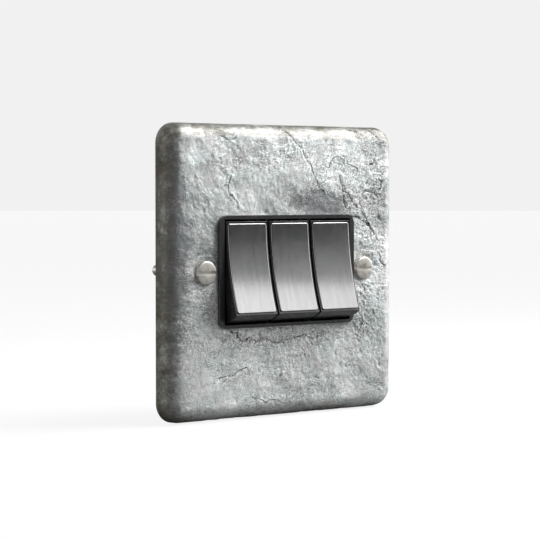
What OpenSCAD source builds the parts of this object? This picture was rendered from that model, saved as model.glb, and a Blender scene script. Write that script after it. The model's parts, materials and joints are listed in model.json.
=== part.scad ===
// Three-gang rocker light switch on a rolled-edge metal face plate.
// Each sub-part is one module. Every sub-part is modelled in the wall frame (x to the right,
// y up, z out of the wall, wall surface at z = 0) and stood upright by upright(), which turns
// z out of the wall into -Y and y up into +Z. The origin is midway between the two wall fixings.

/* [Face plate] */
// Width of the face plate
plate_w = 87; // [85:0.5:104]
// Height of the face plate
plate_h = 87; // [84:0.5:104]
// Depth of the plate, from its rear rim to its face
plate_depth = 6.1; // [5.6:0.1:8]
// Corner radius of the plate's outline
plate_corner_r = 6; // [5:0.5:9]
// Radius of the rolled edge between face and sides
edge_roll_r = 4.7; // [3:0.1:4.8]
// Thickness of the plate's sheet metal
sheet_t = 1.2; // [1:0.1:1.4]
// Distance between the two wall fixings
fixing_pitch = 60.3; // [60.3:0.1:72]
// How far the plate's rim stands off the wall on its gasket
wall_gap = 0.6; // [0.4:0.1:1]
// How far the gasket's edge lies inside the plate's edge
gasket_inset = 0.8; // [0.5:0.1:1]
// Width of the gasket's border
gasket_border = 6.5; // [4:0.5:7]

/* [Rockers] */
// Distance between neighbouring rockers
gang_pitch = 15.95; // [14.5:0.05:16.5]
// Length of a rocker's metal cap, along its chord
cap_h = 26.45; // [22:0.05:29]
// Width of a rocker's metal cap
cap_w = 14.15; // [12:0.05:15]
// Thickness of the metal cap
cap_t = 0.6; // [0.4:0.1:0.8]
// Radius of the hollow across a rocker's face
face_r = 83.6; // [60:0.2:120]
// Distance from the pivot to the middle of a rocker's face
face_rise = 5.55; // [5:0.05:6.5]
// Lean of a rocker to each side of upright, in degrees
rocker_tilt = 10.6; // [8:0.1:12]
// Radius of a rocker's trunnion pins
trunnion_r = 1.25; // [1:0.05:1.4]
// Gap between neighbouring rockers
head_gap = 0.75; // [0.5:0.05:1]

/* [Module] */
// How far the bezel stands out of the plate's face
bezel_proud = 1; // [0.6:0.1:1.6]
// Width of the bezel's rim beside the rockers
rim_side = 1.7; // [1.4:0.1:2.4]
// Width of the bezel's rim above and below the rockers
rim_end = 1; // [0.8:0.1:1.6]
// Corner radius of the bezel
bezel_corner_r = 2.5; // [1.5:0.1:3]
// Distance from the bezel's face back to the rockers' pivot
pivot_depth = 3.6; // [3.2:0.1:4.2]
// Thickness of the walls between gangs
gang_wall_t = 1.2; // [1:0.1:1.4]
// Height of the flanges that the straps clamp, above and below the bezel
flange_h = 3.8; // [3:0.1:5]

/* [Contacts] */
// Distance from the rockers' pivot back to the see-saw contacts' fulcrum
fulcrum_depth = 12.3; // [11.8:0.1:14]
// Lean of a see-saw contact to each side, in degrees
arm_tilt = 6; // [5:0.5:7]
// Upward bend of each wing of a see-saw contact, in degrees
wing_slope = 11.4; // [10:0.2:13]
// Length of each wing of a see-saw contact
wing_l = 7.7; // [7.2:0.1:8]
// Width of a see-saw contact
arm_w = 4.6; // [4:0.1:4.8]
// Thickness of the contact strip
strip_t = 0.8; // [0.6:0.1:0.9]
// Radius of a contact rivet
contact_r = 1.1; // [0.9:0.05:1.3]
// Radius of a plunger
plunger_r = 1.6; // [1.3:0.05:1.7]
// Radius of a plunger's round tip
tip_r = 1.2; // [1:0.05:1.3]

/* [Terminals] */
// Width of a terminal block
block_w = 6.2; // [5.6:0.1:6.4]
// Length of a terminal block, along its cable bore
block_l = 6.2; // [5:0.1:6.5]
// Depth of a terminal block
block_d = 5.4; // [5.2:0.1:7]
// Radius of a cable bore
cable_r = 1.6; // [1.4:0.05:1.7]
// Radius of a clamp screw
clamp_r = 1.5; // [1.2:0.05:1.6]

/* [Fasteners] */
// Radius of a wall fixing screw's shank
fixing_r = 1.75; // [1.75:0.25:2]
// Length of a wall fixing screw below its countersink's edge
fixing_l = 25; // [20:5:50]
// Radius of a wall fixing screw's head
fixing_head_r = 3.5; // [3.3:0.1:3.6]
// How far a wall fixing screw's head stands out of the plate's face
head_proud = 1; // [0.6:0.1:1.4]
// Radius of the strap and housing screws' shanks
small_screw_r = 1.2; // [1:0.05:1.3]
// Height of the threaded pillars behind the plate, and thickness of the flanges
pillar_h = 2.6; // [2.2:0.1:2.8]
// Radius of the threaded pillars
pillar_r = 2.4; // [2.2:0.1:2.8]

/* [Hidden] */
$fn = 48;
eps = 0.5;                                   // overrun of a cut past the face it opens

// Clearances
running = 0.05;                              // radial running fit of pins, plungers and threads
side_clear = 0.3;                            // rocker body or contact arm beside its wall
edge_clear = 0.4;                            // rocker head beside the bezel's rim
end_clear = 0.25;                            // rocker end below the bezel's rim
window_clear = 0.1;                          // bezel inside the plate's window
fit_clear = 0.05;                            // part laid in a pocket
sweep_clear = 0.3;                           // fixed part below a rocker's sweep
tip_gap = 0.15;                              // plunger tip off its contact arm
contact_gap = 0.15;                          // closed contacts

// Levels out of the wall
face_z = wall_gap + plate_depth;
inner_z = face_z - sheet_t;
bezel_z = face_z + bezel_proud;
pivot_z = bezel_z - pivot_depth;
fulcrum_z = pivot_z - fulcrum_depth;
housing_depth = 7.1;                         // pivot to the joint between housing and base
joint_z = pivot_z - housing_depth;
fulcrum_rise = 1.4;
floor_z = fulcrum_z - fulcrum_rise;
block_rise = 0.3;                            // terminal block above the base's floor
block_back_z = floor_z + block_rise - block_d;
base_skin = 0.9;
base_back_z = block_back_z - fit_clear - base_skin;
bore_roof = 0.7;                             // terminal block's metal above its cable bore
cable_z = floor_z + block_rise - bore_roof - cable_r;

// Rockers
cap_proud = 0.3;                             // cap above the plastic beside it
cap_margin = 0.47;                           // plastic beyond each end of the cap
head_w = gang_pitch - head_gap;
body_w = gang_pitch - gang_wall_t - 2 * side_clear;
face_centre = face_rise + face_r;
half_face = cap_h / 2 + cap_margin;
end_rise = face_centre - sqrt(face_r * face_r - half_face * half_face);
end_r = sqrt(half_face * half_face + end_rise * end_rise);
head_clear = 0.95;                           // trunnion to the underside of the wide head
head_low = trunnion_r + head_clear;
skirt = 1.5;                                 // rocker body below the pivot
body_wall = 1.3;
face_t = 1.8;
pin_reach = 0.5;                             // trunnion pin inside its bearing wall
pin_l = side_clear + pin_reach;
post_wall = 1.05;
post_r = plunger_r + running + post_wall;
post_l = 8;                                  // pivot to the end of the post
spring_seat = 0.9;                           // blind end of the post's bore, above the pivot

// Bezel and housing
opening_w = 2 * gang_pitch + head_w + 2 * edge_clear;
opening_h = 2 * (end_r + end_clear);
bezel_w = opening_w + 2 * rim_side;
bezel_h = opening_h + 2 * rim_end;
flange_inset = 2.65;                         // flange's end inside the bezel's side
flange_w = bezel_w - 2 * flange_inset;
nib_w = 0.9;
nib_h = 0.45;
nib_back = 0.2;                              // nib's end below the bezel's face
small_head_r = 2.3;
small_head_h = 1.5;
small_slot_w = 0.6;
lug_r = 2.6;
lug_clear = 0.2;                             // housing screw's head beside the housing
lug_x = bezel_w / 2 + small_head_r + lug_clear;
lug_y = bezel_h / 3;
strap_room = 0.4;                            // front of a lug behind the level of the straps
lug_front_z = inner_z - pillar_h - strap_room;
lug_back_t = 3;
housing_screw_l = 6.5;
housing_hole_l = 4.5;

// Contacts
ridge_r = 0.8;
arm_under = ridge_r + 0.2;                   // fulcrum axis to the underside of each wing
arm_top = arm_under + strip_t;
tip_reach = fulcrum_depth - (arm_top + tip_r + tip_gap) / cos(wing_slope);
plunger_l = 6;
neck_step = 0.4;                             // plunger's shoulder inside the end of its post
spring_clear = 0.1;
spring_wire = 0.35;
contact_t = 0.6;
contact_s = wing_l - contact_r;              // fulcrum to a contact rivet, along the wing
closed_slope = wing_slope - arm_tilt;
pad_top = arm_under - contact_t - contact_gap;
ear_t = 0.6;
ear_rise = 0.8;                              // saddle's ears above the contact arm
ear_h = arm_top + ear_rise;
saddle_w = 1.5;                              // half width of the saddle along the arm
saddle_t = 0.5;
seat_margin = 1.1;                           // contact seat beyond its rivet, to each side
seat_near = 0.2;                             // contact seat beyond its rivet, towards the fulcrum
seat_foot = 0.4;                             // foot of a seat behind its near edge
seat_far = 0.2;                              // foot of a seat beyond the end of the wing
seat_top = 0.5;                              // top of a seat's foot below the fulcrum
bridge_l = 0.6;                              // bridge to the block, under the end of the seat
lap = 0.2;                                   // overlap of joined shapes within one sub-part

// Base
base_inset = 0.2;                            // base inside the housing's outline
base_w = bezel_w - 2 * base_inset;
base_h = bezel_h - 2 * base_inset;
base_corner_r = 1.5;
base_end_wall = 1.5;
cavity_w = gang_pitch - gang_wall_t;
cavity_h = base_h - 2 * base_end_wall;
block_gap = 0.7;                             // half the gap between the two upper blocks
block_inset = 0.1;                           // outer end of a block inside the base's end
block_y = base_h / 2 - block_inset - block_l; // inner end of a terminal block
block_x = block_gap + block_w / 2;
lead_gap = 0.3;                              // common terminal's lead beside the saddle
lead_x = arm_w / 2 + side_clear + ear_t + lead_gap;
driver_clear = 0.4;                          // way for a screwdriver round a clamp screw
screw_stand_off = 0.15;                      // tip of a clamp screw short of the cable bore

// Plate fittings
collar_r = 4.2;
collar_l = 1.5;
dimple_r = 4.6;
dimple_d = 0.25;
seat_slope = 1;                              // countersink depth per unit of radius
slot_w = 1;
slot_d = 0.9;
retainer_r = 3;
retainer_t = 0.8;
thread_back = 0.5;                           // top of the fixings' thread behind their retainers
thread_top_z = inner_z - collar_l - running - retainer_t - thread_back;
neck_r = fixing_r - 0.15;                    // fixing screw's plain shank, which its retainer holds
pillar_skin = 0.5;                           // pillar's metal beyond the end of its thread
pillar_x = 18;
strap_w = 44;
strap_t = 1.2;
strap_overlap = 0.4;                         // gap between a strap and the housing wall
pillar_gap = 0.7;                            // pillar beyond the flange, and strap beyond the pillar
pillar_y = bezel_h / 2 + flange_h + pillar_r + pillar_gap;
strap_end_y = pillar_y + pillar_r + pillar_gap;

// Earth terminal, behind the wall's surface so that its cable passes the plate's rim
earth_gap = 5.4;                             // pillar's edge to the terminal's centre
earth_y = -(pillar_y + pillar_r + earth_gap);
earth_foot_t = 1;
earth_w = 7;
earth_tab = 9;
earth_cheek_w = 5;
earth_grip = 4;                              // length of the terminal that the cheeks hold
earth_top_z = -0.4;
earth_bore_up = 0.4;                         // cable bore above the middle of the terminal
earth_bore_z = earth_top_z - block_d / 2 + earth_bore_up;

GANGS = [1, 2, 3];

function gang_x(g) = (g - 2) * gang_pitch;
// A point of a see-saw contact's side outline: s along the wing, n square to it
function wing_point(side, s, n) =
    [side * (s * cos(wing_slope) - n * sin(wing_slope)), s * sin(wing_slope) + n * cos(wing_slope)];

// Stands a sub-part from the wall frame up into the part's frame
module upright() {
    rotate([90, 0, 0])
        children();
}

// Extrudes a side outline, drawn in y and z, across width w centred on x = 0
module across(w) {
    rotate([90, 0, 90])
        translate([0, 0, -w / 2])
            linear_extrude(w)
                children();
}

module rounded_rect(w, h, r) {
    square([w - 2 * r, h], center = true);
    square([w, h - 2 * r], center = true);
    for (x = [-1, 1], y = [-1, 1])
        translate([x * (w / 2 - r), y * (h / 2 - r)])
            circle(r);
}

// A block between two corners
module block(low, high) {
    translate(low)
        cube(high - low);
}

module at_gang(g) {
    translate([gang_x(g), 0, 0])
        children();
}

// A rocker's own frame at rest: origin on its pivot, z along its face's normal
module rocker_frame(g) {
    at_gang(g)
        translate([0, 0, pivot_z])
            rotate([-rocker_tilt, 0, 0])
                children();
}

// A see-saw contact's own frame at rest: origin on its fulcrum
module arm_frame(g) {
    at_gang(g)
        translate([0, 0, fulcrum_z])
            rotate([arm_tilt, 0, 0])
                children();
}

// The frame of a closed contact: y towards side, z square to the wing lying on it
module closed_frame(side) {
    translate([0, 0, fulcrum_z])
        mirror([0, side < 0 ? 1 : 0, 0])
            rotate([closed_slope, 0, 0])
                children();
}

// A slotted screw: tip at z = 0, head's top at z = l + h
module slotted_screw(r, l, head_r, h, slot) {
    difference() {
        union() {
            cylinder(r = r, h = l);
            translate([0, 0, l])
                cylinder(r = head_r, h = h);
        }
        translate([-head_r - eps, -slot / 2, l + h / 2])
            cube([2 * (head_r + eps), slot, h]);
    }
}

// ---- Face plate and its fittings ----

// Section through the plate's edge: x from the corner's centre outwards, y out of the wall
module edge_section(r, roll, depth) {
    square([r, depth - roll]);
    square([r - roll, depth]);
    intersection() {
        translate([r - roll, depth - roll])
            circle(roll);
        translate([r - roll, depth - roll])
            square(roll);
    }
}

module edge_wall_section() {
    difference() {
        edge_section(plate_corner_r, edge_roll_r, plate_depth);
        translate([0, -eps])
            edge_section(plate_corner_r - sheet_t, edge_roll_r - sheet_t, plate_depth - sheet_t + eps);
    }
}

// One straight side of the shell, length l, lying along y with its outside towards +x
module shell_side(l) {
    rotate([90, 0, 0])
        translate([0, 0, -l / 2])
            linear_extrude(l)
                edge_wall_section();
}

module plate_shell() {
    core_w = plate_w - 2 * plate_corner_r;
    core_h = plate_h - 2 * plate_corner_r;
    translate([-core_w / 2, -core_h / 2, plate_depth - sheet_t])
        cube([core_w, core_h, sheet_t]);
    for (side = [0, 1]) {
        rotate([0, 0, 180 * side])
            translate([core_w / 2, 0, 0])
                shell_side(core_h);
        rotate([0, 0, 180 * side + 90])
            translate([core_h / 2, 0, 0])
                shell_side(core_w);
        for (corner = [0, 1])
            rotate([0, 0, 180 * side])
                mirror([corner, 0, 0])
                    translate([core_w / 2, core_h / 2, 0])
                        rotate_extrude(angle = 90)
                            edge_wall_section();
    }
}

// The dimple, countersink and hole of one wall fixing, with its axis on the origin
module fixing_cut() {
    seat_r = fixing_head_r + running;
    hole_r = fixing_r + running * 2;
    rotate_extrude()
        polygon([[0, face_z + eps], [dimple_r, face_z + eps], [dimple_r, face_z],
            [seat_r, face_z - dimple_d], [hole_r, face_z - dimple_d - (seat_r - hole_r) * seat_slope],
            [hole_r, inner_z - collar_l - eps], [0, inner_z - collar_l - eps]]);
}

module face_plate() {
    color([0.62, 0.65, 0.65])
        upright()
            difference() {
                union() {
                    translate([0, 0, wall_gap])
                        plate_shell();
                    for (x = [-1, 1])
                        translate([x * fixing_pitch / 2, 0, inner_z - collar_l])
                            cylinder(r = collar_r, h = collar_l + sheet_t / 2);
                }
                translate([0, 0, inner_z - eps])
                    linear_extrude(sheet_t + 2 * eps)
                        rounded_rect(bezel_w + 2 * window_clear, bezel_h + 2 * window_clear,
                            bezel_corner_r + window_clear);
                for (x = [-1, 1])
                    translate([x * fixing_pitch / 2, 0, 0])
                        fixing_cut();
            }
}

module wall_gasket() {
    outer_w = plate_w - 2 * gasket_inset;
    outer_h = plate_h - 2 * gasket_inset;
    outer_r = plate_corner_r - gasket_inset;
    color([0.07, 0.07, 0.07])
        upright()
            linear_extrude(wall_gap)
                difference() {
                    rounded_rect(outer_w, outer_h, outer_r);
                    square([outer_w - 2 * gasket_border, outer_h - 2 * gasket_border], center = true);
                }
}

module plate_pillars() {
    color([0.75, 0.68, 0.45])
        upright()
            for (x = [-1, 1], y = [-1, 1])
                translate([x * pillar_x, y * pillar_y, inner_z - pillar_h])
                    difference() {
                        cylinder(r = pillar_r, h = pillar_h);
                        translate([0, 0, -eps])
                            cylinder(r = small_screw_r + running, h = pillar_h - pillar_skin + eps);
                    }
}

// A flat steel strap that clamps one flange of the housing against the plate
module clamp_strap(side) {
    z = inner_z - pillar_h - strap_t;
    color([0.72, 0.73, 0.75])
        upright()
            mirror([0, side < 0 ? 1 : 0, 0])
                difference() {
                    block([-strap_w / 2, bezel_h / 2 + strap_overlap, z],
                        [strap_w / 2, strap_end_y, z + strap_t]);
                    for (x = [-1, 1])
                        translate([x * pillar_x, pillar_y, z - eps])
                            cylinder(r = small_screw_r + 3 * running, h = strap_t + 2 * eps);
                }
}

module upper_strap() {
    clamp_strap(1);
}

module lower_strap() {
    clamp_strap(-1);
}

module strap_screws() {
    tip_room = 0.8;
    reach = strap_t + pillar_h - tip_room;
    color([0.75, 0.75, 0.76])
        upright()
            for (x = [-1, 1], y = [-1, 1])
                translate([x * pillar_x, y * pillar_y, inner_z - pillar_h - strap_t + reach])
                    rotate([180, 0, 0])
                        slotted_screw(small_screw_r, reach, small_head_r, small_head_h, small_slot_w);
}

// Raised countersunk screws, with a flat slotted top, a turned edge and a plain neck
module fixing_screws() {
    head_z = face_z + head_proud;
    rim_z = face_z - dimple_d;
    edge = 0.4;
    color([0.78, 0.77, 0.73])
        upright()
            for (x = [-1, 1])
                translate([x * fixing_pitch / 2, 0, 0])
                    difference() {
                        rotate_extrude()
                            polygon([[0, face_z - fixing_l], [fixing_r - edge, face_z - fixing_l],
                                [fixing_r, face_z - fixing_l + edge],
                                [fixing_r, thread_top_z - edge], [neck_r, thread_top_z],
                                [neck_r, rim_z - (fixing_head_r - neck_r) * seat_slope],
                                [fixing_head_r, rim_z], [fixing_head_r, head_z - edge],
                                [fixing_head_r - edge, head_z], [0, head_z]]);
                        translate([-fixing_head_r - eps, -slot_w / 2, head_z - slot_d])
                            cube([2 * (fixing_head_r + eps), slot_w, slot_d + eps]);
                    }
}

module screw_retainers() {
    color([0.55, 0.12, 0.1])
        upright()
            for (x = [-1, 1])
                translate([x * fixing_pitch / 2, 0, inner_z - collar_l - running - retainer_t])
                    difference() {
                        cylinder(r = retainer_r, h = retainer_t);
                        translate([0, 0, -eps])
                            cylinder(r = neck_r + running, h = retainer_t + 2 * eps);
                    }
}

// A foot under the plate with two cheeks that reach back and hold the terminal between them
module earth_bracket() {
    foot_z = inner_z - earth_foot_t;
    cheek_z = earth_top_z - earth_grip;
    color([0.72, 0.73, 0.75])
        upright() {
            block([-earth_w / 2, earth_y - earth_tab / 2, foot_z],
                [earth_w / 2, earth_y + earth_tab / 2, inner_z]);
            for (y = [-1, 1])
                translate([0, earth_y + y * (earth_tab - earth_foot_t) / 2, (foot_z + cheek_z + lap) / 2])
                    cube([earth_cheek_w, earth_foot_t, foot_z - cheek_z + lap], center = true);
        }
}

module earth_terminal() {
    color([0.80, 0.66, 0.30])
        upright()
            difference() {
                block([-earth_w / 2, earth_y - earth_w / 2, earth_top_z - block_d],
                    [earth_w / 2, earth_y + earth_w / 2, earth_top_z]);
                translate([-earth_w / 2 - eps, earth_y, earth_bore_z])
                    rotate([0, 90, 0])
                        cylinder(r = cable_r, h = earth_w + 2 * eps);
                translate([0, earth_y, earth_top_z - block_d - eps])
                    cylinder(r = clamp_r + running, h = block_d / 2 + eps);
            }
}

module earth_screw() {
    thread_l = 1.9;
    head_over = 0.4;
    head_h = 1.2;
    color([0.75, 0.75, 0.76])
        upright()
            translate([0, earth_y, earth_bore_z - cable_r - screw_stand_off])
                rotate([180, 0, 0])
                    slotted_screw(clamp_r, thread_l, clamp_r + head_over, head_h, small_slot_w);
}

// ---- Housing and base ----

// A wall between gangs: its roof follows the rockers' sweep on both sides of the pivot
module bearing_wall(w) {
    half = opening_h / 2 + rim_end / 2;
    low = joint_z - pivot_z;
    peak = head_low / cos(rocker_tilt) - sweep_clear;
    eaves = peak - half * tan(rocker_tilt);
    translate([0, 0, pivot_z])
        across(w)
            polygon([[-half, low], [half, low], [half, eaves], [0, peak], [-half, eaves]]);
}

module housing_lugs(z0, z1) {
    for (x = [-1, 1], y = [-1, 1]) {
        translate([x * lug_x, y * lug_y, z0])
            cylinder(r = lug_r, h = z1 - z0);
        translate([x * (bezel_w / 2 + lug_x) / 2, y * lug_y, (z0 + z1) / 2])
            cube([lug_x - bezel_w / 2 + 1, 2 * lug_r, z1 - z0], center = true);
    }
}

module lug_holes(r, z0, z1) {
    for (x = [-1, 1], y = [-1, 1])
        translate([x * lug_x, y * lug_y, z0])
            cylinder(r = r, h = z1 - z0);
}

module front_housing() {
    outer_wall = 1.5 * gang_pitch - gang_wall_t / 2;
    color([0.06, 0.06, 0.065])
        upright()
            difference() {
                union() {
                    difference() {
                        translate([0, 0, joint_z])
                            linear_extrude(bezel_z - joint_z)
                                rounded_rect(bezel_w, bezel_h, bezel_corner_r);
                        translate([-opening_w / 2, -opening_h / 2, joint_z - eps])
                            cube([opening_w, opening_h, bezel_z - joint_z + 2 * eps]);
                    }
                    for (y = [0, 1])
                        mirror([0, y, 0])
                            block([-flange_w / 2, opening_h / 2 + rim_end / 2, inner_z - pillar_h],
                                [flange_w / 2, bezel_h / 2 + flange_h, inner_z]);
                    for (between = [1.5, 2.5])
                        at_gang(between) {
                            bearing_wall(gang_wall_t);
                            gang_nibs();
                        }
                    for (x = [-1, 1])
                        translate([x * (outer_wall + bezel_w / 2 - rim_side / 2) / 2, 0, 0])
                            bearing_wall(bezel_w / 2 - rim_side / 2 - outer_wall);
                    housing_lugs(joint_z, lug_front_z);
                }
                translate([-bezel_w / 2 + rim_side / 2, 0, pivot_z])
                    rotate([0, 90, 0])
                        cylinder(r = trunnion_r + running, h = bezel_w - rim_side);
                lug_holes(small_screw_r + running, joint_z - eps, joint_z + housing_hole_l);
            }
}

// Small pointed ribs of the bezel between neighbouring rockers
module gang_nibs() {
    for (y = [0, 1])
        mirror([0, y, 0])
            translate([0, 0, pivot_z])
                linear_extrude(pivot_depth - nib_back)
                    polygon([[-nib_w / 2, opening_h / 2 + rim_end / 4], [-nib_w / 2, opening_h / 2],
                        [0, opening_h / 2 - nib_h], [nib_w / 2, opening_h / 2],
                        [nib_w / 2, opening_h / 2 + rim_end / 4]]);
}

// The place of one terminal block in a gang, block_l long from block_y outwards
module terminal_pocket(x, side) {
    mirror([0, side < 0 ? 1 : 0, 0]) {
        block([x - block_w / 2 - fit_clear, block_y - fit_clear, block_back_z - fit_clear],
            [x + block_w / 2 + fit_clear, base_h / 2 + eps, floor_z + block_rise + fit_clear]);
        translate([x, block_y + block_l / 2, base_back_z - eps])
            cylinder(r = clamp_r + driver_clear, h = base_skin + 2 * eps);
    }
}

module rear_base() {
    color([0.13, 0.13, 0.14])
        upright()
            difference() {
                union() {
                    translate([0, 0, base_back_z])
                        linear_extrude(joint_z - base_back_z)
                            rounded_rect(base_w, base_h, base_corner_r);
                    housing_lugs(joint_z - lug_back_t, joint_z);
                }
                for (g = GANGS)
                    at_gang(g) {
                        block([-cavity_w / 2, -cavity_h / 2, floor_z],
                            [cavity_w / 2, cavity_h / 2, joint_z + eps]);
                        terminal_pocket(-block_x, 1);
                        terminal_pocket(block_x, 1);
                        terminal_pocket(0, -1);
                    }
                lug_holes(small_screw_r + 3 * running, joint_z - lug_back_t - eps, joint_z + eps);
            }
}

module housing_screws() {
    color([0.75, 0.75, 0.76])
        upright()
            for (x = [-1, 1], y = [-1, 1])
                translate([x * lug_x, y * lug_y, joint_z - lug_back_t + housing_screw_l])
                    rotate([180, 0, 0])
                        slotted_screw(
                            small_screw_r, housing_screw_l, small_head_r, small_head_h, small_slot_w
                        );
}

// ---- Rockers ----

// Side outline of a rocker's body between two levels, inset from its ends and face
module rocker_outline(low, inset, face_inset) {
    difference() {
        intersection() {
            circle(end_r - inset);
            translate([-end_r, low])
                square([2 * end_r, end_r]);
        }
        translate([0, face_centre])
            circle(face_r + cap_proud + face_inset, $fn = 180);
    }
}

// The cap's curved sheet, w wide and h along its chord
module cap_sheet(w, h) {
    across(w)
        intersection() {
            translate([0, face_centre])
                difference() {
                    circle(face_r + cap_t, $fn = 180);
                    circle(face_r, $fn = 180);
                }
            translate([-h / 2, 0])
                square([h, end_r]);
        }
}

module rocker_body(g) {
    color([0.05, 0.05, 0.055])
        upright()
            rocker_frame(g)
                difference() {
                    union() {
                        difference() {
                            union() {
                                across(head_w)
                                    rocker_outline(head_low, 0, 0);
                                across(body_w)
                                    rocker_outline(-skirt, 0, 0);
                            }
                            across(body_w - 2 * body_wall)
                                rocker_outline(-skirt - eps, body_wall, face_t);
                        }
                        translate([0, 0, -post_l])
                            cylinder(r = post_r, h = post_l + face_rise - face_t / 2 - cap_proud);
                        for (x = [-1, 1])
                            translate([x * (body_w / 2 + pin_l / 2 - body_wall / 4), 0, 0])
                                rotate([0, 90, 0])
                                    cylinder(r = trunnion_r, h = pin_l + body_wall / 2, center = true);
                    }
                    translate([0, 0, -post_l - eps])
                        cylinder(r = plunger_r + running, h = post_l + spring_seat + eps);
                    cap_sheet(cap_w + 2 * fit_clear, cap_h + 2 * fit_clear);
                }
}

module rocker_cap(g) {
    color([0.80, 0.80, 0.80])
        upright()
            rocker_frame(g)
                cap_sheet(cap_w, cap_h);
}

module plunger(g) {
    neck_z = neck_step - post_l;
    color([0.85, 0.84, 0.78])
        upright()
            rocker_frame(g) {
                translate([0, 0, -tip_reach])
                    rotate_extrude()
                        difference() {
                            union() {
                                circle(tip_r);
                                square([tip_r, tip_reach + neck_z + eps]);
                            }
                            translate([-2 * tip_r, -2 * tip_r])
                                square([2 * tip_r, 4 * tip_r]);
                        }
                translate([0, 0, neck_z])
                    cylinder(r = plunger_r, h = plunger_l - tip_reach - neck_z);
            }
}

module plunger_spring(g) {
    low = plunger_l - tip_reach;
    coil_r = plunger_r - spring_clear;
    color([0.6, 0.6, 0.62])
        upright()
            rocker_frame(g)
                translate([0, 0, low])
                    difference() {
                        cylinder(r = coil_r, h = spring_seat - low);
                        translate([0, 0, -eps])
                            cylinder(r = coil_r - spring_wire, h = spring_seat - low + 2 * eps);
                    }
}

// ---- Contacts and terminals ----

module contact_arm(g) {
    color([0.80, 0.55, 0.35])
        upright()
            arm_frame(g)
                across(arm_w)
                    polygon([[0, arm_under / cos(wing_slope)], wing_point(1, wing_l, arm_under),
                        wing_point(1, wing_l, arm_top), [0, arm_top / cos(wing_slope)],
                        wing_point(-1, wing_l, arm_top), wing_point(-1, wing_l, arm_under)]);
}

module arm_tips(g) {
    color([0.88, 0.88, 0.86])
        upright()
            arm_frame(g)
                for (side = [0, 1])
                    mirror([0, side, 0])
                        rotate([wing_slope, 0, 0])
                            translate([0, contact_s, arm_under - contact_t])
                                cylinder(r = contact_r, h = contact_t);
}

module fixed_tips(g) {
    color([0.88, 0.88, 0.86])
        upright()
            at_gang(g)
                for (side = [-1, 1])
                    closed_frame(side)
                        translate([0, contact_s, pad_top - contact_t])
                            cylinder(r = contact_r, h = contact_t);
}

// A brass block with its cable bore and clamp screw hole, outer end towards side
module terminal_block(x, side) {
    top = floor_z + block_rise;
    mirror([0, side < 0 ? 1 : 0, 0])
        difference() {
            block([x - block_w / 2, block_y, block_back_z], [x + block_w / 2, block_y + block_l, top]);
            translate([x, block_y - eps, cable_z])
                rotate([-90, 0, 0])
                    cylinder(r = cable_r, h = block_l + 2 * eps);
            translate([x, block_y + block_l / 2, block_back_z - eps])
                cylinder(r = clamp_r + running, h = cable_z - block_back_z + eps);
        }
}

// The fixed contact's sloping seat and the foot below it, joined to a block by a bridge
module contact_seat(side, bridge_x0, bridge_x1) {
    half_w = contact_r + seat_margin;
    near = contact_s - contact_r - seat_near;
    seat_z = pad_top - contact_t;
    mirror([0, side < 0 ? 1 : 0, 0]) {
        block([-half_w, near + seat_foot, floor_z], [half_w, wing_l + seat_far, fulcrum_z - seat_top]);
        block([bridge_x0, wing_l - bridge_l, floor_z], [bridge_x1, block_y + lap, floor_z + strip_t]);
    }
    closed_frame(side)
        block([-half_w, near, seat_z - strip_t], [half_w, wing_l + 2 * seat_far, seat_z]);
}

module l1_terminal(g) {
    color([0.80, 0.66, 0.30])
        upright()
            at_gang(g) {
                terminal_block(-block_x, 1);
                contact_seat(1, -contact_r - seat_margin, -block_gap);
            }
}

module l2_terminal(g) {
    color([0.80, 0.66, 0.30])
        upright()
            at_gang(g) {
                terminal_block(0, -1);
                contact_seat(-1, -contact_r - seat_margin, contact_r + seat_margin);
            }
}

// The saddle that a see-saw contact rocks on, with its lead to the common terminal
module com_terminal(g) {
    ear_x = arm_w / 2 + side_clear;
    color([0.80, 0.66, 0.30])
        upright()
            at_gang(g) {
                terminal_block(block_x, 1);
                block([-ear_x - ear_t, -saddle_w, floor_z],
                    [block_x + block_w / 2, saddle_w, floor_z + saddle_t]);
                block([-ear_x - ear_t / 2, -ridge_r, floor_z], [ear_x + ear_t / 2, ridge_r, fulcrum_z]);
                translate([-ear_x - ear_t / 2, 0, fulcrum_z])
                    rotate([0, 90, 0])
                        cylinder(r = ridge_r, h = 2 * ear_x + ear_t);
                for (x = [-1, 1])
                    translate([x * (ear_x + ear_t / 2) - ear_t / 2, -saddle_w, floor_z])
                        cube([ear_t, 2 * saddle_w, fulcrum_z - floor_z + ear_h]);
                block([lead_x, -saddle_w, floor_z],
                    [block_x + block_w / 2, block_y + lap, floor_z + saddle_t]);
            }
}

module clamp_screws(g) {
    thread_l = 1;
    head_h = 1.3;
    tip_z = cable_z - cable_r - screw_stand_off;
    color([0.75, 0.75, 0.76])
        upright()
            at_gang(g)
                for (place = [[-block_x, 1], [block_x, 1], [0, -1]])
                    translate([place[0], place[1] * (block_y + block_l / 2), tip_z])
                        rotate([180, 0, 0])
                            slotted_screw(clamp_r, thread_l, clamp_r, head_h, small_slot_w);
}

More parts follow.
